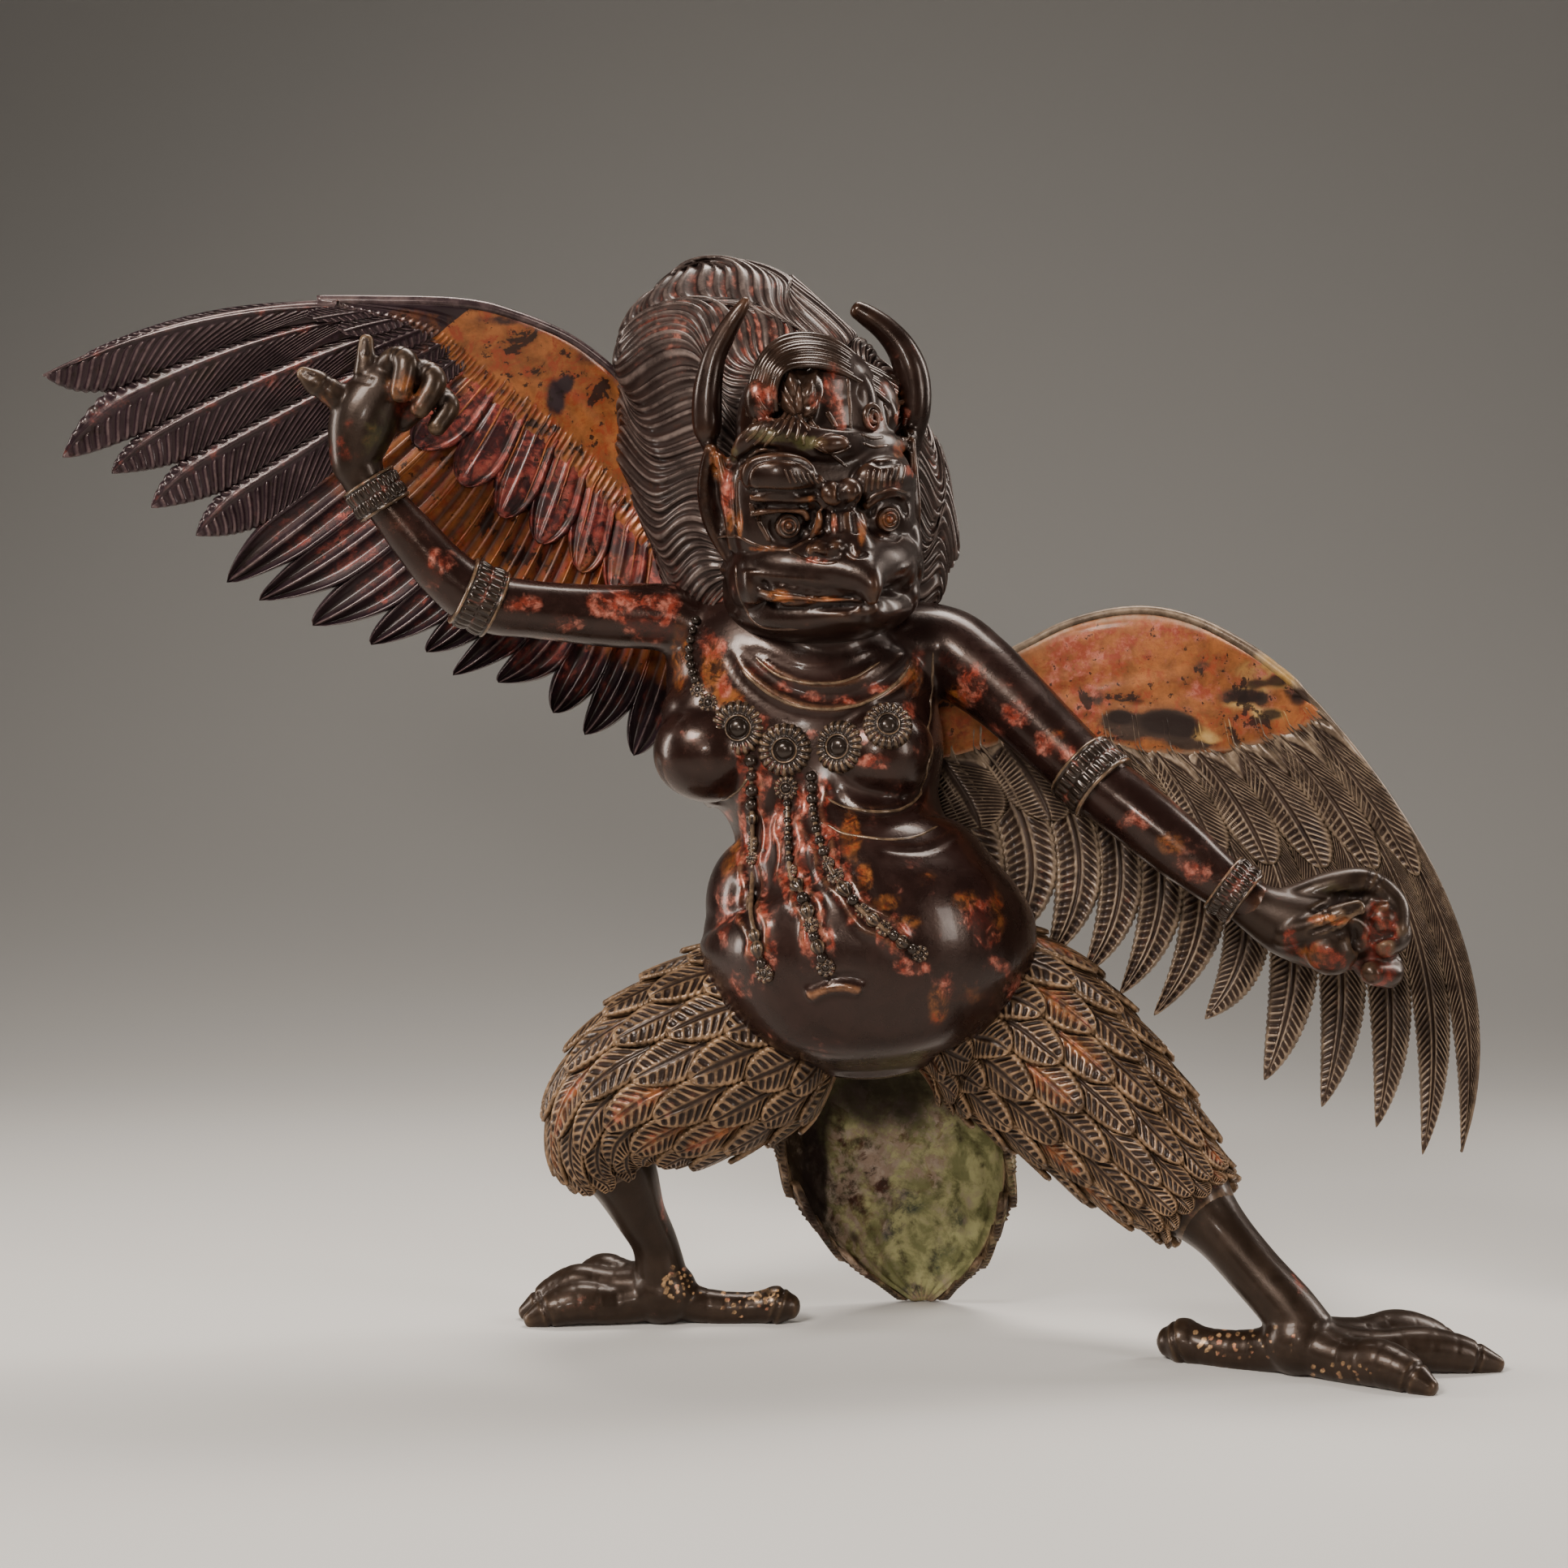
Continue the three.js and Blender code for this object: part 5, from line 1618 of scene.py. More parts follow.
def left_wing_mesh():
    """The raised wing."""
    wing = LEFT_WING
    count = wing.feathers
    parts = [
        coverts(
            wing, 72, 0.0006,
            lambda s, down: {"ochre": 0.95 - 0.6 * (s < 0.2), "red": 0.25 * smooth_step(0.6, 1, s)},
        ),
        edge_spar(wing),
    ]
    for i in range(count):
        share = (i + 0.5) / count
        length = wing.length(share)
        tip_length = np.interp(i, (0, 4, 8, 15), (66, 70, 74, 60)) * SHARE
        common = dict(tip_from=1 - tip_length / length, tilt=0.0007)
        if i < 5:
            tones = red_rib
            look = Plume(
                rib_at=-0.5, rib=0.0011, rib_width=0.12, barbs=int(length / 0.0046), barb_from=0.2,
                barb=0.0013, slant=0.26, rim=0.0, tip_power=0.85, **common,
            )
        else:
            tones = red_valleys
            look = Plume(
                rib=0.0014, rib_width=0.11, groove=0.0019, groove_at=0.42, groove_width=0.2, rim=0.0018,
                barbs=24, barb=0.0, slant=0.05, tip_power=0.72, **common,
            )
        parts.append(plume(wing, share, 0.5 / count * OVERLAP, 0.16, 1.0, look, tones))
    scale = Plume(
        columns=24, barbs=16, thick=0.001, rim=0.0008, rib=0.0004, rib_width=0.08, groove=0.0008,
        groove_at=0.62, groove_width=0.08, barb=0.0, slant=0.05, lift=(0.0008, 0.003),
        tip_from=0.5, tip_power=0.6, tilt=0.0005,
    )
    parts += row_of_plumes(
        wing, np.linspace(0.36, 0.96, 8), 0.052, 0.2, 0.46, scale,
        lambda across, along: {"red": 0.95 - 0.5 * (np.abs(across) > 0.75), "ochre": 0.2},
    )
    small = Plume(
        columns=22, barbs=9, thick=0.001, rim=0.0005, rib=0.0006, barb=0.0009, slant=0.25,
        lift=(0.0008, 0.0018), tip_from=0.55, tip_power=0.55, tilt=0.0005,
    )
    parts += row_of_plumes(wing, np.linspace(0.05, 0.28, 5), 0.036, 0.2, 0.36, small)
    return welded(parts)


def right_wing_mesh():
    """The lowered wing."""
    wing = RIGHT_WING
    count = wing.feathers
    parts = [
        coverts(
            wing, 30, 0.0,
            lambda s, down: {"ochre": 0.9 - 0.3 * s, "red": 0.2 + 0.2 * smooth_step(0.5, 0, down)},
        ),
        edge_spar(wing),
    ]
    split_rib = dict(columns=18, back_columns=4, split=0.13, rib_width=0.07, crest=1.0)
    for i in range(count):
        share = (i + 0.5) / count
        length = wing.length(share)
        tip_length = np.interp(i, (0, 5, 11), (170, 130, 70)) * SHARE
        common = dict(tip_from=1 - tip_length / length, tilt=-0.0007, rim_wear=0.25, **split_rib)
        if i < 6:
            tones = None
            look = Plume(
                rib=0.0012, barbs=int(length / 0.0029), barb_from=0.2, barb=0.001, rim=0.0004,
                slant=0.22, tip_power=0.8, **common,
            )
        else:
            look = Plume(
                rib=0.0013, groove=0.001, groove_at=0.5, rim=0.0008, barb_from=0.2,
                barbs=int(length / 0.0033), barb=0.0007, slant=0.14, **common,
            )

            def tones(across, along):
                return {"red": valley_of(across) * 0.1, "ochre": 0.2}
        parts.append(plume(wing, share, 0.5 / count * OVERLAP, 0.16, 1.0, look, tones))
    scale = Plume(
        barbs=19, thick=0.001, rim=0.0005, rib=0.0009, barb=0.0009, slant=0.3, lift=(0.0006, 0.0022),
        tip_from=0.6, tip_power=0.55, tilt=-0.0005, rim_wear=0.2, **split_rib,
    )
    parts += row_of_plumes(
        wing, np.linspace(0.06, 0.94, 9), 0.062, 0.235, 0.52, scale, lambda across, along: {"ochre": 0.1},
    )
    return welded(parts)


# Thigh feathers and tail

# Each thigh's name, its form, and its rows of feathers.
THIGHS = [
    ("left_thigh", LEFT_THIGH, dict(rows=8, around=13, turn=0.0)),
    ("right_thigh", RIGHT_THIGH, dict(rows=9, around=13, turn=0.3)),
]


def feathered_limb(rings, rows, around, turn):
    """A thigh covered by staggered rows of leaf-like feathers."""
    limb = Limb(rings)
    parts = [tube(rings, sides=48, steps=60)]
    set_tone(parts[0], "red", 0.2)
    step = 0.96 / rows
    for row in range(rows):
        for column in range(around):
            s = (column + 0.5 * (row % 2) + turn) / around
            look = Plume(
                columns=16, back_columns=2, barbs=8, thick=0.0009, rim=0.001, rib=0.0009, split=0.12,
                rib_width=0.07, barb=0.0011, barb_from=0.16, barb_to=0.8, slant=0.4,
                lift=(-0.001, 0.0042), tip_from=0.45, tip_power=0.55, root_width=0.75,
                crest=0.75 + 0.5 * math.sin(5.3 * column + 2.1 * row) ** 2, rim_wear=0.26,
            )
            start = 0.02 + step * (row - 0.35)
            warm = 0.1 + 0.8 * max(0, math.sin(7.3 * column + 5.1 * row)) ** 5
            parts.append(plume(
                limb, s, 0.56 / around, max(start, 0.0), min(start + 1.75 * step, 1.0), look,
                lambda across, along: {
                    "ochre": warm * np.exp(-((across / 0.6) ** 2)) * smooth_step(0.95, 0.7, along),
                    "red": 0.3 * warm * np.exp(-((across / 0.5) ** 2)),
                },
            ))
    return welded(parts)


TAIL = [
    (86, 120, 313, 64, 41), (92, 144, 253, 96, 57), (103, 153, 182, 108, 65), (114, 159, 113, 96, 61),
    (127, 184, 49, 60, 40), (137, 225, -1, 7, 6),
]
TAIL_SPREAD = math.radians(86)
TAIL_WALL = 0.0032
# How many rows of feathers the tail's outside has, and how many stand in a row.
TAIL_ROWS = 9
TAIL_AROUND = 9
# Stains on the tail's inside, and painted shadow at its top and beside its left wall, by tone, as the paint
# on the body.
TAIL_PAINT_AND_SHADOW = {
    "red": [
        (1060, 1400, 56, 50, 0.95), (1135, 1420, 30, 40, 0.7), (1060, 1540, 24, 40, 0.8),
        (1085, 1470, 18, 26, 0.6), (1140, 1602, 14, 8, 0.9), (1100, 1370, 90, 26, 0.6),
        (1045, 1450, 30, 70, 1.0), (1060, 1500, 30, 30, 0.8), (1140, 1440, 16, 20, 0.8),
    ],
    "ochre": [
        (1112, 1478, 30, 18, 0.9), (1096, 1508, 16, 22, 0.8), (1150, 1560, 10, 22, 0.6),
        (1016, 1470, 12, 90, 1.0), (1180, 1500, 12, 16, 0.5), (1125, 1590, 14, 8, 0.7),
        (1130, 1380, 50, 14, 0.7), (1165, 1545, 18, 14, 0.4),
    ],
    "green": [
        (978, 1450, 34, 90, -1.1), (1010, 1520, 20, 34, -1.0), (1050, 1572, 16, 20, -0.8),
        (1060, 1450, 40, 50, -0.35),
    ],
    # The first three crest marks, at the top of the inside under the belly and beside the left wall, are
    # painted shadow; the last two are small dark patches.
    "crest": [
        (1070, 1345, 120, 44, -0.6), (1004, 1440, 16, 90, -1.2), (1090, 1350, 70, 50, -0.3),
        (1106, 1482, 16, 12, -0.3), (1052, 1525, 8, 10, -0.5),
    ],
}


class TailShell:
    """The outside of the tail. Across, it runs from rim to rim round the back."""

    def __init__(self):
        self.middle = at([ring[:3] for ring in TAIL])
        self.girth = np.array([ring[3:] for ring in TAIL], float) * SHARE

    def out(self, s, v):
        angle = TAIL_SPREAD * (2 * s - 1)
        size = spline(self.girth, v)
        return np.column_stack([np.sin(angle) * size[:, 0], np.cos(angle) * size[:, 1], 0 * s])

    def spot(self, s, v):
        v = np.clip(v, 0, 1)
        spot = spline(self.middle, v) + self.out(s, v)
        spot[:, 2] = np.maximum(spot[:, 2], 0.0003)
        return spot

    def normal(self, s, v):
        return unit(self.out(s, np.clip(v, 0, 1)))


def tail_mesh():
    """The open hollow tail, with feathers on its outside and out along its rims."""
    shell = TailShell()

    def wall(u, v):
        """Down the outside from rim to rim, then back along the stained inside."""
        outside = u <= 0.5
        s = np.where(outside, 2 * u, 2 - 2 * u)
        spot, normal = shell.spot(s, v), shell.normal(s, v)
        thick = TAIL_WALL / 2 * (1 - np.abs(2 * s - 1) ** 12) * np.sqrt(smooth_step(0, 0.02, 1 - v))
        furrow = 0.0004 * np.sin(46 * s + 5 * np.sin(6 * v)) + 0.0003 * np.sin(17 * v + 9 * s)
        height = np.where(outside, thick, -thick - furrow)
        spot = spot + normal * height[:, None]
        spot[:, 2] = np.maximum(spot[:, 2], 0.0002)
        streaks = 0.12 * np.sin(31 * s + 4 * np.sin(7 * v)) + 0.08 * np.sin(63 * s + 3)
        green = np.where(outside, 0.0, 0.72 + streaks)
        return spot, {"green": green, "red": np.where(outside, 0.1, 0.25), "ochre": 0.2}

    parts = [grid(120, 90, wall)]
    look = Plume(
        columns=14, back_columns=4, barbs=8, thick=0.001, rim=0.0007, rib=0.0007, barb=0.001,
        barb_from=0.1, slant=0.3, lift=(0.0006, 0.003), tip_from=0.45, tip_power=0.62,
        root_width=0.75, rib_width=0.1,
    )
    for row in range(TAIL_ROWS):
        for side in (0.0, 1.0):
            # Feathers along the rims, whose tips stand out of the outline.
            rim_look = Plume(
                columns=14, back_columns=4, barbs=9, thick=0.0014, rim=0.0006, rib=0.0008, barb=0.0011,
                slant=0.34, tip_from=0.35, tip_power=0.7, root_width=0.8, rib_width=0.1,
                lift=(0.0, 0.0052 - 0.0022 * (row % 2) - 0.0002 * row),
            )
            start = 0.02 + 0.104 * row + 0.03 * side
            spread_out = 0.1 * (1 - 0.05 * row) * (1 if row % 2 else 0.45)
            middle = side + spread_out * (2 * side - 1)
            parts.append(plume(
                shell, middle, 0.075, start, min(start + 0.16, 0.985), rim_look,
                lambda across, along: {"green": 0.35, "red": 0.2},
            ))
        start = -0.04 + 0.105 * row
        for column in range(TAIL_AROUND + row % 2):
            middle = min(max((column + 0.5 - 0.5 * (row % 2)) / TAIL_AROUND, 0.02), 0.98)
            parts.append(plume(
                shell, middle, 0.6 / TAIL_AROUND, max(start, 0), min(start + 0.19, 0.995), look,
                lambda across, along: {"ochre": 0.1, "red": 0.05},
            ))
    return welded(parts)


# Jewellery

# Flowers on the skin: (pixel of the photograph, radius in shares, petals).
ROSETTES = [
    ((910, 897), 25, 20), ((967, 924), 24, 20), ((1034, 920), 23.5, 20), ((1094, 894), 22, 20),
    ((969, 971), 11.5, 12), ((860, 850), 7.5, 8), ((873, 866), 9, 8),
]
# Half a rosette: (share of its radius, height in shares of one with a radius of 23).
ROSETTE_SIZE = 23
ROSETTE_PROFILE = [
    (0.0, 7.2), (0.12, 7.0), (0.24, 6.0), (0.33, 4.2), (0.37, 3.4), (0.42, 5.2), (0.47, 5.8), (0.52, 4.6),
    (0.58, 4.4), (0.68, 5.2), (0.78, 5.2), (0.88, 4.2), (0.95, 2.6), (1.0, 0.0), (1.0, -4.0), (0.5, -5.0),
    (0.0, -5.0),
]
# The three strings of the breast, as pixels of the photograph.
STRANDS = [
    [(926, 935), (928, 992), (929, 1050), (927, 1090), (927, 1130), (936, 1165), (942, 1203)],
    [(971, 990), (972, 1033), (976, 1080), (991, 1105), (1002, 1145), (1018, 1193)],
    [(1000, 955), (1002, 996), (1011, 1040), (1029, 1080), (1060, 1120), (1100, 1153), (1133, 1175)],
]
# What hangs on each string: (pixel x, pixel y, form, radius in shares).
HANGINGS = [
    [
        (926, 937, "bead", 6.2), (927, 955, "bead", 5.2), (928, 973, "bead", 6.2), (928, 990, "bead", 6.2),
        (929, 1009, "drop", 7), (929, 1026, "bead", 4.2), (929, 1040, "flower", 8),
        (928, 1058, "flower", 7), (927, 1110, "bar", 26), (932, 1154, "drop", 7), (936, 1170, "drop", 8),
        (940, 1186, "bead", 5), (943, 1199, "flower", 9),
    ],
    [
        (971, 990, "bead", 4.0), (971, 1001, "bead", 4.0), (972, 1012, "bead", 4.0),
        (973, 1022, "bead", 3.6), (973, 1033, "bead", 4.4), (974, 1046, "bead", 4.4),
        (975, 1059, "bead", 4.6), (978, 1075, "flower", 7), (984, 1093, "drop", 8),
        (991, 1108, "bead", 6.0), (995, 1124, "drop", 7.5), (1000, 1140, "flower", 7.5),
        (1004, 1154, "bead", 5), (1009, 1167, "drop", 7.5), (1013, 1180, "bead", 5),
        (1018, 1192, "flower", 8.5),
    ],
    [
        (1000, 957, "bead", 5.4), (1001, 971, "bead", 5.4), (1001, 985, "bead", 5.4),
        (1003, 998, "bead", 4.2), (1005, 1010, "bead", 4.2), (1007, 1023, "bead", 4.8),
        (1011, 1037, "bead", 4.8), (1016, 1051, "bead", 5.4), (1022, 1065, "flower", 6.5),
        (1030, 1081, "flower", 8), (1040, 1097, "drop", 8), (1051, 1110, "bead", 5.4),
        (1063, 1122, "flower", 6.5), (1076, 1134, "drop", 7), (1089, 1144, "flower", 7.5),
        (1101, 1153, "bead", 5), (1112, 1161, "drop", 7), (1123, 1169, "bead", 5),
        (1133, 1175, "flower", 7.5),
    ],
]
SHOULDER_STRING = [(858, 765), (853, 786), (851, 805), (853, 822), (858, 838)]
BRACELETS = [
    # (centre, direction, radius, width), in shares.
    ((-281, 39, 688), (-1, -0.25, 0.45), 34, 35), ((-373, 20, 782), (-0.62, -0.1, 1), 28, 31),
    ((280, 7, 524), (1, -0.5, -0.95), 37, 35), ((405, -28, 423), (1, -0.25, -0.75), 30, 27),
]
# Thin raised lines on the skin: (pixels, radius in shares).
BODY_LINES = [
    ([(805, 905), (806, 940), (818, 970), (845, 988), (880, 990), (908, 976), (922, 958)], 1.7),
    ([(1012, 978), (1035, 992), (1075, 1000), (1112, 996), (1136, 975), (1144, 940), (1147, 880),
      (1149, 830), (1150, 790)], 1.8),
    ([(1008, 1012), (1045, 1028), (1090, 1034), (1130, 1030), (1160, 1016)], 1.6),
    ([(905, 812), (935, 846), (975, 868), (1020, 874), (1066, 866), (1104, 842), (1126, 812)], 1.8),
    ([(926, 806), (958, 832), (1004, 842), (1050, 836), (1090, 812)], 1.5),
]


def rosette(centre, normal, radius, petals=20):
    """A round flower: a domed bead in a cup, ringed by ribs."""
    normal = unit(normal)
    side = unit(np.cross(UP, normal))
    rise = np.cross(normal, side)
    reach = radius * SHARE

    def shape(u, v):
        spot = spline(ROSETTE_PROFILE, v)
        across = np.clip(spot[:, 0], 0, 1.02)
        angle = 2 * math.pi * u
        rib = np.abs(np.cos(petals / 2 * angle)) ** 0.7
        ribbed = smooth_step(0.5, 0.6, across) * (spot[:, 1] > -2)
        height = spot[:, 1] * SHARE * radius / ROSETTE_SIZE + ribbed * (rib - 0.6) * 0.0009
        out = across * reach * (1 + 0.035 * (rib - 0.5) * ribbed)
        co = centre + side * (np.cos(angle) * out)[:, None] + rise * (np.sin(angle) * out)[:, None]
        tone = {"red": 0.35 * ribbed * (1 - rib), "calm": 0.9 * (across < 0.36)}
        return co + normal * height[:, None], tone

    return grid(petals * 6, 34, shape)


def bracelet(centre, ahead, radius, width, beads=13):
    """Two rows of pillow-shaped beads between two rims."""
    axis = unit(ahead)
    side = unit(np.cross(axis, UP))
    rise = np.cross(side, axis)
    middle = at(centre)
    half = width * SHARE / 2

    def shape(u, v):
        angle = 2 * math.pi * u
        along = np.clip(2 * (v - 0.1) / 0.8 - 1, -1, 1)
        sink = smooth_step(0, 0.1, np.minimum(v, 1 - v))
        bead_u = np.abs(np.sin(angle * beads)) ** 0.5
        rows = np.abs(np.sin(0.93 * math.pi * along)) ** 0.5
        inside = smooth_step(0, 0.08, 0.74 - np.abs(along))
        rim = np.exp(-(((np.abs(along) - 0.88) / 0.09) ** 2))
        height = 2.2 * rim + inside * 2.4 * bead_u * rows
        reach = (radius - 3.0 + height) * SHARE * (0.82 + 0.18 * sink)
        co = middle + axis * (along * half)[:, None]
        co = co + side * (np.cos(angle) * reach)[:, None] + rise * (np.sin(angle) * reach)[:, None]
        return co, {"red": 0.3 * (1 - bead_u * rows), "calm": 0.5 * inside}

    return grid(beads * 2 * 6, 40, shape)


def bead(spot, normal, radius, lift=0.4):
    """A round glossy bead on the skin. It is too smooth for its paint to wear."""
    mesh = ball(spot + unit(normal) * radius * lift * SHARE, (radius,) * 3)
    set_tone(mesh, "calm", 0.8)
    return mesh


def strung(clay, pixels, beads, radius):
    """Round beads along a line on the skin."""
    spots, normals = clay.seen(pixels)
    line = spline(np.hstack([spots, normals]), np.linspace(0, 1, beads))
    return [bead(row[:3], row[3:], radius) for row in line]


def drop(spot, normal, along, radius, ribs=7):
    """A ribbed drop that hangs along the string."""
    side = unit(np.cross(along, normal))
    face = np.cross(side, along)

    def shape(u, v):
        angle = 2 * math.pi * u
        round_off = np.sin(math.pi * v) ** 0.7 * (1.15 - 0.4 * v)
        rib = 0.86 + 0.14 * np.abs(np.cos(ribs / 2 * angle)) * np.sin(math.pi * v)
        reach = radius * SHARE * round_off * rib
        middle = spot + along * ((v - 0.5) * 2.3 * radius * SHARE)[:, None]
        return (
            middle + side * (np.cos(angle) * reach)[:, None]
            + face * (np.sin(angle) * reach * 0.8 + 0.3 * radius * SHARE)[:, None]
        )

    return grid(ribs * 6, 14, shape)


# How many places a string's line has, and its half width and how high it lies, in shares.
STRING_PLACES = 60
STRING_SIZE = 2.4
STRING_LIFT = 1.4


def strand_parts(clay, pixels, hangings):
    """A string with its beads, bars, drops and flowers."""
    spots, normals = clay.seen(pixels)
    line = spline(np.hstack([spots, normals]), np.linspace(0, 1, STRING_PLACES))
    size = np.full(STRING_PLACES, STRING_SIZE)
    parts = [wire(line[:, :3] + line[:, 3:] * STRING_LIFT * SHARE, size, size, sides=8, steps=110)]
    for x, y, form, radius in hangings:
        found, facing = clay.seen([(x, y)])
        if len(found) == 0:
            continue
        spot, normal = found[0], facing[0]
        nearest = int(np.argmin(np.linalg.norm(line[:, :3] - spot, axis=1)))
        ahead, behind = line[min(nearest + 2, STRING_PLACES - 1), :3], line[max(nearest - 2, 0), :3]
        along = unit(ahead - behind)
        if form == "bead":
            parts.append(bead(spot, normal, radius))
        elif form == "drop":
            parts.append(drop(spot, normal, along, radius))
        elif form == "bar":
            reach = along * radius * SHARE
            middle = spot + normal * 2.2 * SHARE
            ends = np.array([middle - reach, middle - reach * 0.4, middle + reach * 0.4, middle + reach])
            parts.append(wire(ends, (2.6, 4.4, 4.6, 3), (3, 4, 4, 3), sides=12, steps=20, front=normal))
        else:
            parts.append(rosette(spot + normal * 1.5 * SHARE, normal, radius, 8))
    return parts


def jewellery_mesh(clay):
    """The rosettes, strings, bracelets and raised lines, laid on the skin of the body."""
    parts = []
    for pixel, radius, petals in ROSETTES:
        spots, normals = clay.seen([pixel])
        for spot, normal in zip(spots, normals):
            parts.append(rosette(spot, normal + 0.5 * FRONT, radius, petals))
    parts += strung(clay, SHOULDER_STRING, 8, 4.4)
    for pixels, hangings in zip(STRANDS, HANGINGS):
        parts += strand_parts(clay, pixels, hangings)
    parts += [bracelet(*sizes) for sizes in BRACELETS]
    parts += [ridge(clay, pixels, radius) for pixels, radius in BODY_LINES]
    return welded(parts)


# Materials

class Paint:
    """A shader built node by node."""

    def __init__(self, name):
        self.material = bpy.data.materials.new(name)
        self.material.use_nodes = True
        self.tree = self.material.node_tree
        self.shader = self.tree.nodes["Principled BSDF"]
        place = self.tree.nodes.new("ShaderNodeTexCoord")
        self.place = place.outputs["Object"]

    def number(self, name):
        """A number that the mesh carries at each point."""
        node = self.tree.nodes.new("ShaderNodeAttribute")
        node.attribute_name = name
        return node.outputs["Fac"]

    def noise(self, size, detail=4.0, roughness=0.55, warp=0.0):
        """Cloudy noise, whose patches are about size metres wide."""
        node = self.tree.nodes.new("ShaderNodeTexNoise")
        node.inputs["Scale"].default_value = 1 / size
        node.inputs["Detail"].default_value = detail
        node.inputs["Roughness"].default_value = roughness
        node.inputs["Distortion"].default_value = warp
        self.tree.links.new(self.place, node.inputs["Vector"])
        return node.outputs["Fac"]

    def between(self, value, low, high, start=0.0, end=1.0):
        """Start where the value is low, end where it is high, and a smooth way between."""
        node = self.tree.nodes.new("ShaderNodeMapRange")
        node.interpolation_type = "SMOOTHSTEP"
        for name, amount in (("From Min", low), ("From Max", high), ("To Min", start), ("To Max", end)):
            node.inputs[name].default_value = amount
        self.tree.links.new(value, node.inputs["Value"])
        return node.outputs["Result"]

    def maths(self, how, a, b):
        """A sum or product of two values, each a number or what a node makes."""
        node = self.tree.nodes.new("ShaderNodeMath")
        node.operation = how
        for socket, value in zip(node.inputs, (a, b)):
            if isinstance(value, (int, float)):
                socket.default_value = value
            else:
                self.tree.links.new(value, socket)
        return node.outputs["Value"]

    def mix(self, share, first, second):
        """The second colour laid over the first, by a share from 0 to 1."""
        node = self.tree.nodes.new("ShaderNodeMix")
        node.data_type = "RGBA"
        self.tree.links.new(share, node.inputs["Factor"])
        for name, colour in (("A", first), ("B", second)):
            socket = [each for each in node.inputs if each.name == name and each.type == "RGBA"][0]
            if isinstance(colour, tuple):
                socket.default_value = (*colour, 1)
            else:
                self.tree.links.new(colour, socket)
        return [each for each in node.outputs if each.type == "RGBA"][0]

    def bumpy(self, height, depth):
        """Fine relief, in metres."""
        node = self.tree.nodes.new("ShaderNodeBump")
        node.inputs["Distance"].default_value = depth
        self.tree.links.new(height, node.inputs["Height"])
        self.tree.links.new(node.outputs["Normal"], self.shader.inputs["Normal"])

    def give(self, socket, value):
        """Links what the nodes make to a socket of the shader."""
        self.tree.links.new(value, self.shader.inputs[socket])

    def set(self, socket, value):
        """Sets what is the same all over."""
        self.shader.inputs[socket].default_value = value


CINNABAR = (0.21, 0.032, 0.017)
DARK_RED = (0.1, 0.014, 0.009)
ROSE = (0.38, 0.13, 0.09)
BURNT_ORANGE = (0.3, 0.1, 0.028)
VERDIGRIS = (0.2, 0.23, 0.1)
PALE_VERDIGRIS = (0.34, 0.35, 0.22)
OLIVE = (0.035, 0.032, 0.01)
PALE_OLIVE = (0.08, 0.068, 0.03)
LEAF_GOLD = (0.27, 0.165, 0.09)
WORN_BRONZE = (0.3, 0.19, 0.11)
WORN_COPPER = (0.38, 0.17, 0.08)
DULL_COPPER = (0.24, 0.12, 0.075)
SILVER = (0.24, 0.18, 0.155)
DULL_SILVER = (0.22, 0.15, 0.14)
PALE_BROWN = (0.25, 0.18, 0.12)
YELLOW_OCHRE = (0.3, 0.17, 0.05)
PALE_GOLD = (0.4, 0.25, 0.09)
WARM_SHEEN = (1.0, 0.8, 0.68, 1.0)
# Soot for specks and sooty patches, and also the colour of the painted shade in hollows.
SOOT_AND_SHADE = (0.008, 0.004, 0.004)
# How deep the finest grain of the lacquer is, in metres.
GRAIN_DEPTH = 0.00006


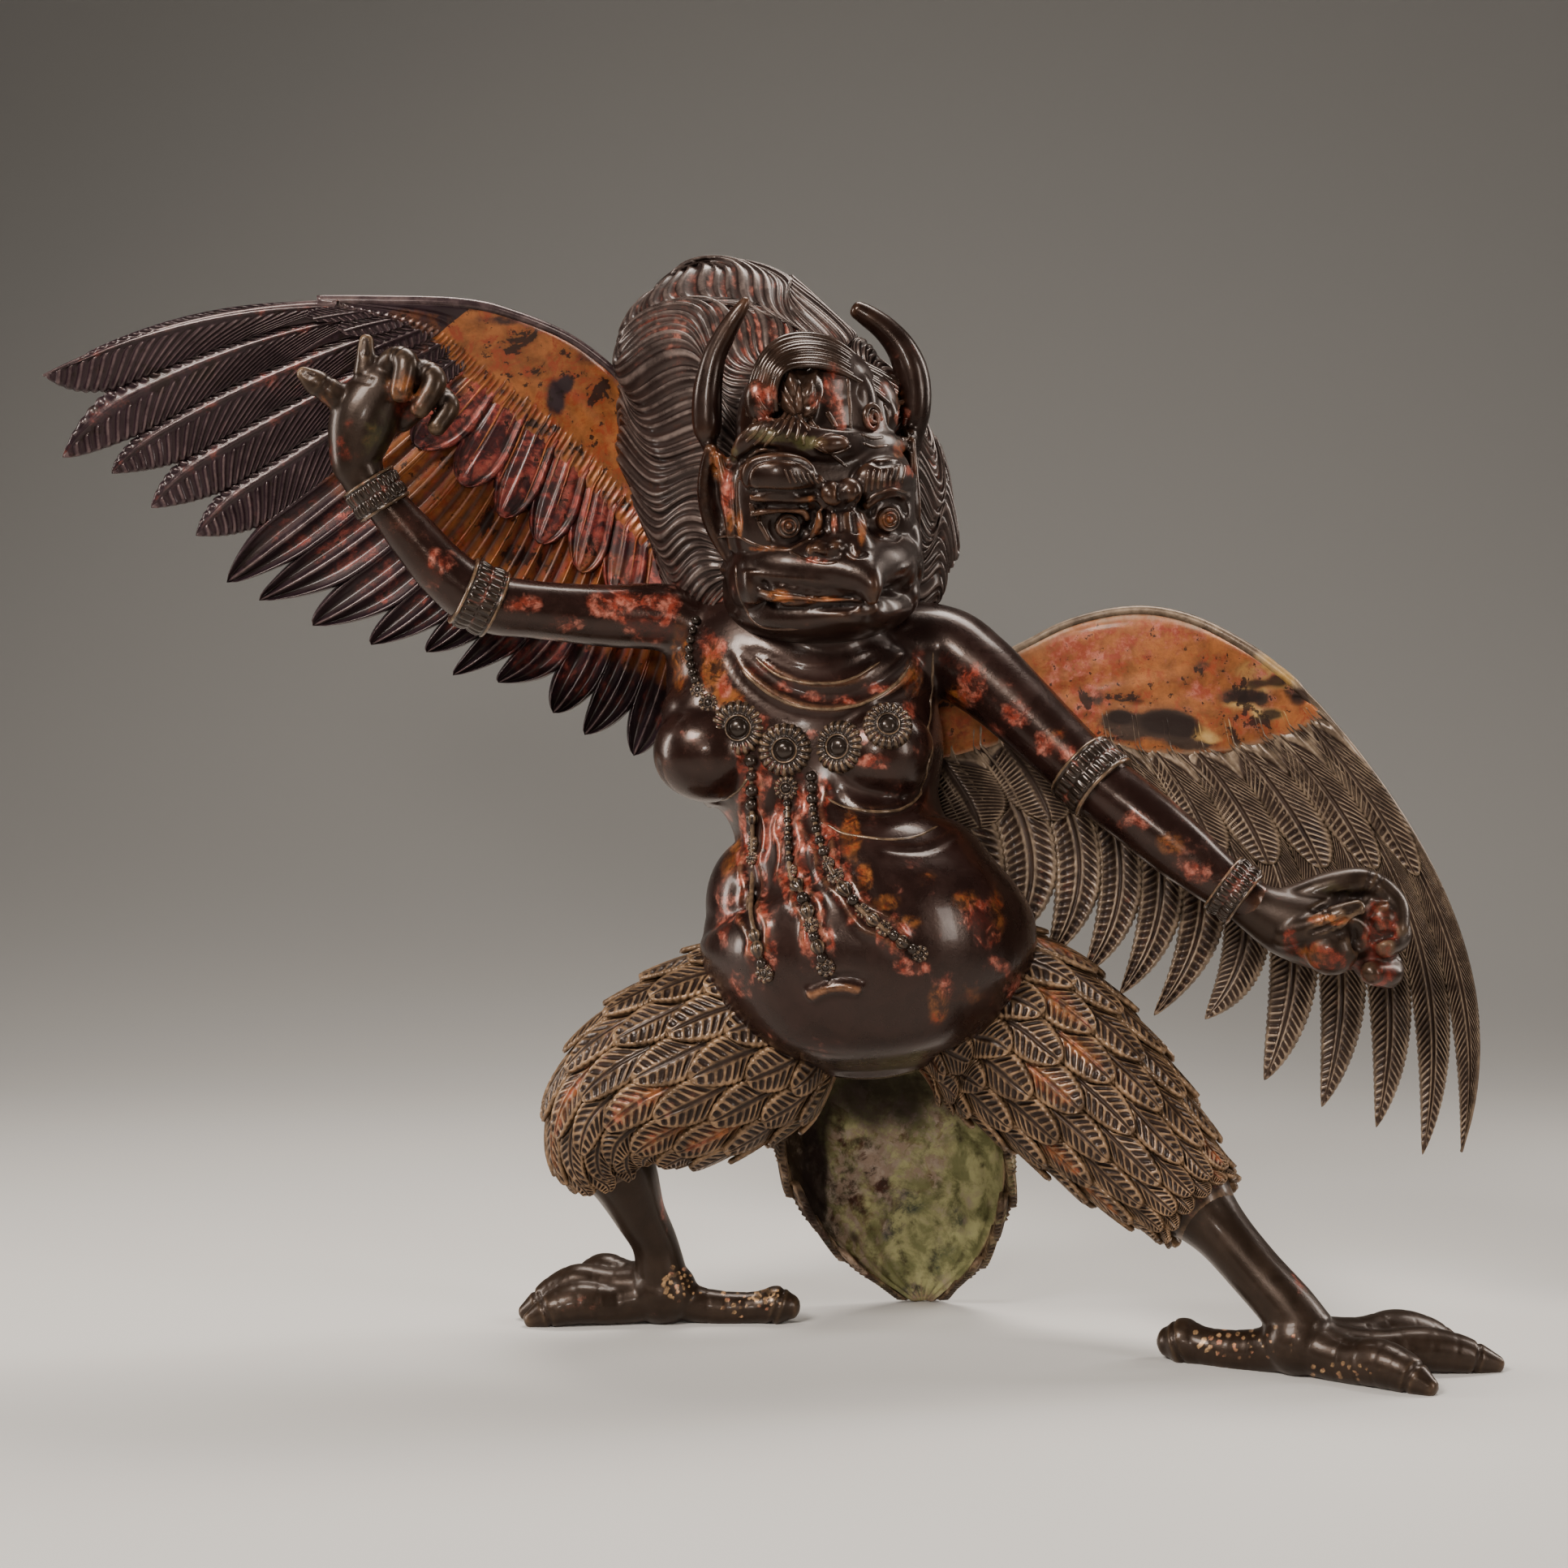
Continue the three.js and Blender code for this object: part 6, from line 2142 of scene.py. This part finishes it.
def lacquer(
    name, dark, worn, wear=0.5, red=0.3, gloss=0.2, coat=0.3, specks=0.0, ochre_colour=None,
    red_colours=None, green_colours=None, rub_ochre=True,
):
    """Old lacquer over bronze: dark in the open, worn on ridges, red where it was painted, and darkened in
    hollows by grime and painted shade.

    The meshes carry four numbers: recess is above 0 in hollows and below 0 on ridges,
    and red, ochre and green are shares of those colours. Colours that aren't given, how
    light the lacquer is and how worn, are those of the settings.
    """
    chosen = settings()
    dark = tuple(chosen.lightness * part for part in dark)
    ochre_colour = ochre_colour or tuple(chosen.ochre_paint)
    red_colours = red_colours or (tuple(chosen.red_paint), tuple(chosen.rose_paint))
    green_colours = green_colours or (tuple(chosen.green_stain), PALE_VERDIGRIS)
    soot_and_shade = tuple(chosen.soot_and_shade)
    paint = Paint(name)
    recess = paint.number("recess")
    broad = paint.noise(0.035, 5, 0.6, 0.6)
    middling = paint.noise(0.012, 5, 0.65, 0.3)
    small = paint.noise(0.004, 5, 0.65)
    fine = paint.noise(0.0011, 3, 0.6)
    rough_grain = paint.noise(0.007, 8, 0.8, 0.5)
    lighter = tuple(1.6 * part for part in dark)
    colour = paint.mix(paint.between(middling, 0.35, 0.7), dark, lighter)

    def amount(tone, steady, ragged):
        """A tone with ragged edges: noise is added before it is cut off."""
        value = paint.number(tone)
        for clouds, low, high, weight in (
            (broad, 0.35, 0.75, steady), (small, 0.3, 0.7, ragged), (middling, 0.3, 0.7, ragged),
        ):
            added = paint.maths("MULTIPLY", paint.between(clouds, low, high), weight)
            value = paint.maths("ADD", value, added)
        return value

    def shade(light):
        """A lighter and a darker cast of one colour, in clouds, with redder grains."""
        darker = tuple(0.45 * part for part in light)
        clouds = paint.mix(paint.between(middling, 0.35, 0.65), light, darker)
        red_cast = (0.75 * light[0], 0.4 * light[1], 0.5 * light[2])
        return paint.mix(paint.between(rough_grain, 0.48, 0.62), clouds, red_cast)

    rubbed = paint.between(paint.noise(0.0055, 6, 0.72, 0.4), 0.4, 0.58, 0.12, 1.0)
    streaked = paint.between(paint.noise(0.01, 4, 0.6, 0.8), 0.36, 0.56, 0.25, 1.0)
    left_over = paint.maths("MULTIPLY", rubbed, streaked)

    def share(tone, steady, ragged, low, high):
        """Where a tone still lies: it is rubbed through in places."""
        full = paint.between(amount(tone, steady, ragged), low, high)
        return paint.maths("MULTIPLY", full, left_over)

    greens = paint.mix(paint.between(middling, 0.4, 0.62), *green_colours)
    colour = paint.mix(paint.between(amount("green", 0.0, 0.2), 0.5, 0.9), colour, greens)
    ochre_share = paint.between(amount("ochre", 0.0, 0.2), 0.42, 0.95)
    if rub_ochre:
        ochre_share = paint.maths("MULTIPLY", ochre_share, left_over)
    colour = paint.mix(ochre_share, colour, shade(ochre_colour))
    reds = paint.mix(paint.between(small, 0.42, 0.66), *red_colours)
    reds = paint.mix(paint.between(streaked, 0.3, 0.9), DARK_RED, reds)
    colour = paint.mix(share("red", red, 0.22, 0.5, 0.95), colour, reds)
    if specks > 0:
        spots = paint.between(small, 0.6, 0.66, 0.0, specks)
        colour = paint.mix(spots, colour, soot_and_shade)
        patches = paint.between(middling, 0.6, 0.64, 0.0, specks)
        colour = paint.mix(patches, colour, soot_and_shade)
    high = paint.maths("MULTIPLY", paint.between(recess, -0.02, -0.16), chosen.wear * wear)
    high = paint.maths("MULTIPLY", high, paint.between(small, 0.3, 0.65, 0.35, 1.0))
    high = paint.maths("MULTIPLY", high, paint.between(middling, 0.36, 0.6, 0.4, 1.0))
    colour = paint.mix(high, colour, worn)
    # Grime and painted shade: hollows, and crests marked below 0, are darkened towards the soot colour.
    colour = paint.mix(paint.between(recess, 0.03, 0.2, 0.0, 0.9), colour, soot_and_shade)
    paint.give("Base Color", colour)
    rough = paint.maths(
        "ADD", paint.between(recess, -0.05, 0.15, gloss, gloss + 0.3),
        paint.between(middling, 0.35, 0.7, 0.0, 0.1),
    )
    paint.give("Roughness", rough)
    paint.set("Metallic", 0.2)
    paint.set("Specular IOR Level", 0.32)
    paint.set("Specular Tint", WARM_SHEEN)
    paint.set("Coat Weight", coat)
    paint.set("Coat Roughness", 0.12)
    paint.bumpy(fine, GRAIN_DEPTH)
    return paint.material


def plain(name, colour, roughness):
    """A material of one colour."""
    paint = Paint(name)
    paint.set("Base Color", (*colour, 1))
    paint.set("Roughness", roughness)
    return paint.material


# Stage

FLOOR_COLOUR = (0.54, 0.52, 0.49)
FLOOR_ROUGHNESS = 0.7
ROOM_COLOUR = (0.66, 0.64, 0.62)
ROOM_LIGHT = 0.08
LAMP_COLOUR = (1.0, 0.94, 0.88)
LAMP_SPREAD = math.radians(80)
# What the lamps point at.
LIT_PLACE = Vector((0, 0, 0.22))
# The floor sweeps up behind the figure. All are metres: how far it runs in front and in all, its
# width, and where the curve starts and how wide it is.
FLOOR_RUN = (8.0, 15.0)
FLOOR_WIDTH = 16.0
SWEEP_START = 0.7
SWEEP_RADIUS = 1.3
STAGE_LIGHTS = [
    # (name, place, size, power)
    ("key", (-0.85, -1.25, 1.35), (0.7, 0.5), 10),
    ("front", (-0.22, -2.0, 0.62), (0.2, 0.18), 1.8),
    ("fill", (1.5, -1.1, 0.6), (0.35, 0.8), 2.6),
    ("top", (0.2, 0.5, 1.5), (1.2, 0.4), 6),
    ("left_edge", (-1.4, 0.1, 0.5), (0.25, 1.0), 3.2),
    ("right_edge", (1.3, 0.5, 0.8), (0.25, 1.0), 3.0),
]


def stage():
    """The plain floor, the lights and the camera at the photograph's viewing angle."""
    def sweep(u, v):
        """Flat in front, then up in a wide curve to a wall."""
        run = v * FLOOR_RUN[1] - FLOOR_RUN[0]
        turn = np.clip((run - SWEEP_START) / SWEEP_RADIUS, 0, math.pi / 2)
        rise = np.maximum(run - SWEEP_START - SWEEP_RADIUS * math.pi / 2, 0)
        y = np.minimum(run, SWEEP_START) + SWEEP_RADIUS * np.sin(turn)
        return np.column_stack([FLOOR_WIDTH * (u - 0.5), y, SWEEP_RADIUS * (1 - np.cos(turn)) + rise])

    mesh = grid(1, 160, sweep)
    mesh.name = "floor"
    mesh.shade_smooth()
    floor = bpy.data.objects.new("floor", mesh)
    bpy.context.scene.collection.objects.link(floor)
    mesh.materials.append(plain("floor", FLOOR_COLOUR, FLOOR_ROUGHNESS))
    world = bpy.data.worlds.new("studio")
    world.use_nodes = True
    background = world.node_tree.nodes["Background"]
    background.inputs["Color"].default_value = (*ROOM_COLOUR, 1)
    background.inputs["Strength"].default_value = ROOM_LIGHT
    bpy.context.scene.world = world
    for name, place, size, power in STAGE_LIGHTS:
        lamp = bpy.data.lights.new(name, "AREA")
        lamp.shape = "RECTANGLE"
        lamp.size, lamp.size_y = size
        lamp.energy = power
        lamp.spread = LAMP_SPREAD
        lamp.color = LAMP_COLOUR
        holder = bpy.data.objects.new(name, lamp)
        holder.location = place
        holder.rotation_euler = (LIT_PLACE - Vector(place)).to_track_quat("-Z", "Y").to_euler()
        holder.visible_camera = False
        bpy.context.scene.collection.objects.link(holder)
    camera = bpy.data.cameras.new("camera")
    camera.sensor_width = SENSOR
    camera.lens = PHOTO_FOCAL / PHOTO_SIZE * SENSOR
    camera.shift_y = (PHOTO_HORIZON_Y - PHOTO_SIZE / 2) / PHOTO_SIZE
    holder = bpy.data.objects.new("camera", camera)
    holder.location = EYE
    holder.rotation_euler = (math.pi / 2, 0, 0)
    bpy.context.scene.collection.objects.link(holder)
    bpy.context.scene.camera = holder


# The add-on

class GarudaSettings(bpy.types.PropertyGroup):
    """The sizes and colours of the figure."""

    body_grain: bpy.props.FloatProperty(
        name="Body grain", description="Size of the faces of the body", default=0.0015,
        min=0.001, max=0.005, unit="LENGTH",
    )
    face_grain: bpy.props.FloatProperty(
        name="Face grain", description="Size of the faces of the head, hands and feet",
        default=0.0009, min=0.0006, max=0.005, unit="LENGTH",
    )
    hair_strands: bpy.props.IntProperty(
        name="Hair strands", description="Number of strands in the mane", default=132, min=20, max=220,
    )
    lightness: bpy.props.FloatProperty(
        name="Lightness", description="How light the lacquer is", default=1.0, min=0.2, max=10.0,
    )
    wear: bpy.props.FloatProperty(
        name="Wear", description="How far the lacquer is worn off its ridges", default=1.0,
        min=0.0, max=2.0, subtype="FACTOR",
    )
    red_paint: bpy.props.FloatVectorProperty(
        name="Red paint", description="The darker cast of the red paint", default=CINNABAR,
        min=0.0, max=1.0, subtype="COLOR",
    )
    rose_paint: bpy.props.FloatVectorProperty(
        name="Rose paint", description="The lighter cast of the red paint", default=ROSE,
        min=0.0, max=1.0, subtype="COLOR",
    )
    ochre_paint: bpy.props.FloatVectorProperty(
        name="Ochre paint", description="The colour of the ochre paint", default=BURNT_ORANGE,
        min=0.0, max=1.0, subtype="COLOR",
    )
    green_stain: bpy.props.FloatVectorProperty(
        name="Green stain", description="The colour of the green stains", default=VERDIGRIS,
        min=0.0, max=1.0, subtype="COLOR",
    )
    # Soot, which is also the colour of the painted shade laid in hollows.
    soot_and_shade: bpy.props.FloatVectorProperty(
        name="Soot", description="The colour of the deepest hollows", default=SOOT_AND_SHADE,
        min=0.0, max=1.0, subtype="COLOR",
    )


# The finished body, on which the jewellery lies.
SKINS = {}
# How much a worn crest counts, against a ridge of the mesh itself.
CREST_WEAR = 0.24


def settings():
    """The sizes and colours in use."""
    return bpy.context.scene.garuda


def add(name, mesh, material, marks=None):
    """A finished piece, with its paint, whose hollows and ridges the material can tell."""
    if marks:
        paint_marks(mesh, marks)
    recess = recess_of(mesh) * (1 - tone_of(mesh, "calm"))
    set_tone(mesh, "recess", recess - CREST_WEAR * tone_of(mesh, "crest"))
    shown(name, mesh, material)


class GARUDA_OT_body(bpy.types.Operator):
    """Build the torso, neck and arms"""

    bl_idname = "garuda.body"
    bl_label = "Body"

    def execute(self, context):
        SKINS["body"] = body_clay(settings().body_grain)
        add("body", SKINS["body"].mesh, lacquer(
            "body lacquer", (0.012, 0.005, 0.004), WORN_COPPER, red=0.38, gloss=0.22, coat=0.2,
            ochre_colour=(0.3, 0.1, 0.025),
        ))
        return {"FINISHED"}


class GARUDA_OT_hands(bpy.types.Operator):
    """Build both hands"""

    bl_idname = "garuda.hands"
    bl_label = "Hands"

    def execute(self, context):
        mesh = hands_clay(settings().face_grain).mesh
        add("hands", mesh, lacquer(
            "hand lacquer", (0.011, 0.006, 0.004), WORN_BRONZE, wear=0.5, gloss=0.3, coat=0.1,
            green_colours=((0.012, 0.014, 0.008), OLIVE), red_colours=(DARK_RED, CINNABAR),
        ), HANDS_PAINT_AND_HIGHLIGHT)
        return {"FINISHED"}


class GARUDA_OT_feet(bpy.types.Operator):
    """Build the shins and feet"""

    bl_idname = "garuda.feet"
    bl_label = "Shins and feet"

    def execute(self, context):
        mesh = feet_clay(settings().face_grain).mesh
        add("feet", mesh, lacquer(
            "foot lacquer", (0.014, 0.008, 0.005), WORN_BRONZE, wear=0.35, gloss=0.3, coat=0.1,
            ochre_colour=(0.55, 0.33, 0.16),
        ), FEET_PAINT)
        return {"FINISHED"}


class GARUDA_OT_head(bpy.types.Operator):
    """Build the head with its beak, horns and crown"""

    bl_idname = "garuda.head"
    bl_label = "Head"

    def execute(self, context):
        clay = head_clay(settings().face_grain)
        add("head", clay.mesh, lacquer(
            "head lacquer", (0.009, 0.004, 0.003), WORN_COPPER, wear=0.22, red=0.35, gloss=0.25, coat=0.2,
            green_colours=(OLIVE, PALE_OLIVE),
        ), HEAD_PAINT_AND_HIGHLIGHTS)
        add("face_relief", welded(face_parts(clay) + crown_parts(clay)), lacquer(
            "relief lacquer", (0.011, 0.006, 0.004), DULL_COPPER, wear=0.22,
            green_colours=(OLIVE, PALE_OLIVE),
        ), HEAD_PAINT_AND_HIGHLIGHTS)
        return {"FINISHED"}


class GARUDA_OT_hair(bpy.types.Operator):
    """Build the mane"""

    bl_idname = "garuda.hair"
    bl_label = "Mane"

    def execute(self, context):
        add("mane", hair_mesh(settings().hair_strands), lacquer(
            "hair lacquer", (0.014, 0.008, 0.007), SILVER, wear=0.46, red=0.25, gloss=0.26, coat=0.2,
        ))
        return {"FINISHED"}


class GARUDA_OT_wings(bpy.types.Operator):
    """Build the raised wing and the lowered one"""

    bl_idname = "garuda.wings"
    bl_label = "Wings"

    def execute(self, context):
        add("left_wing", left_wing_mesh(), lacquer(
            "left wing lacquer", (0.014, 0.007, 0.01), DULL_SILVER, wear=0.42, specks=0.9, rub_ochre=False,
            gloss=0.26, coat=0.2, red_colours=((0.22, 0.035, 0.028), (0.34, 0.085, 0.06)),
        ), LEFT_WING_PAINT)
        add("right_wing", right_wing_mesh(), lacquer(
            "right wing lacquer", (0.024, 0.014, 0.01), PALE_BROWN, wear=0.9, specks=0.9, rub_ochre=False,
            gloss=0.34, coat=0.1, green_colours=(YELLOW_OCHRE, PALE_GOLD),
        ), RIGHT_WING_PAINT)
        return {"FINISHED"}


class GARUDA_OT_thighs(bpy.types.Operator):
    """Build both thighs with their feathers"""

    bl_idname = "garuda.thighs"
    bl_label = "Thighs"

    def execute(self, context):
        for name, rings, feathers in THIGHS:
            add(name, feathered_limb(rings, **feathers), lacquer(
                name.replace("_", " ") + " lacquer", (0.013, 0.007, 0.005), LEAF_GOLD, wear=1.0, gloss=0.3,
                coat=0.15,
            ))
        return {"FINISHED"}


class GARUDA_OT_tail(bpy.types.Operator):
    """Build the hollow tail"""

    bl_idname = "garuda.tail"
    bl_label = "Tail"

    def execute(self, context):
        add("tail", tail_mesh(), lacquer(
            "tail lacquer", (0.018, 0.011, 0.007), WORN_BRONZE, wear=0.8, gloss=0.45, coat=0.0,
            red_colours=((0.27, 0.19, 0.14), (0.36, 0.28, 0.22)), ochre_colour=(0.035, 0.055, 0.045),
            green_colours=((0.17, 0.17, 0.07), (0.42, 0.4, 0.19)),
        ), TAIL_PAINT_AND_SHADOW)
        return {"FINISHED"}


class GARUDA_OT_jewellery(bpy.types.Operator):
    """Build the rosettes, strings and bracelets on the finished body"""

    bl_idname = "garuda.jewellery"
    bl_label = "Jewellery"

    def execute(self, context):
        if "body" not in SKINS:
            raise RuntimeError("The body comes first: the jewellery lies on it")
        add("jewellery", jewellery_mesh(SKINS["body"]), lacquer(
            "jewellery lacquer", (0.012, 0.008, 0.006), WORN_BRONZE, wear=0.6,
        ))
        return {"FINISHED"}


class GARUDA_OT_stage(bpy.types.Operator):
    """Build the floor, the lights and the camera"""

    bl_idname = "garuda.stage"
    bl_label = "Floor, lights and camera"

    def execute(self, context):
        stage()
        return {"FINISHED"}


OPERATORS = [
    GARUDA_OT_stage, GARUDA_OT_body, GARUDA_OT_hands, GARUDA_OT_thighs, GARUDA_OT_feet, GARUDA_OT_tail,
    GARUDA_OT_wings, GARUDA_OT_hair, GARUDA_OT_head, GARUDA_OT_jewellery,
]


class GARUDA_PT_panel(bpy.types.Panel):
    """The settings of the figure, and its pieces in the order of their making"""

    bl_label = "Garuda figure"
    bl_idname = "GARUDA_PT_panel"
    bl_space_type = "VIEW_3D"
    bl_region_type = "UI"
    bl_category = "Garuda"

    def draw(self, context):
        for name in GarudaSettings.__annotations__:
            self.layout.prop(context.scene.garuda, name)
        for operator in OPERATORS:
            self.layout.operator(operator.bl_idname)


CLASSES = [GarudaSettings, *OPERATORS, GARUDA_PT_panel]


def register():
    for each in CLASSES:
        bpy.utils.register_class(each)
    bpy.types.Scene.garuda = bpy.props.PointerProperty(type=GarudaSettings)


def unregister():
    del bpy.types.Scene.garuda
    for each in reversed(CLASSES):
        bpy.utils.unregister_class(each)


def main():
    """Builds the stage and every piece in order."""
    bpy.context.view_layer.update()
    register()
    for operator in OPERATORS:
        group, name = operator.bl_idname.split(".")
        getattr(getattr(bpy.ops, group), name)()


if __name__ == "__main__":
    main()
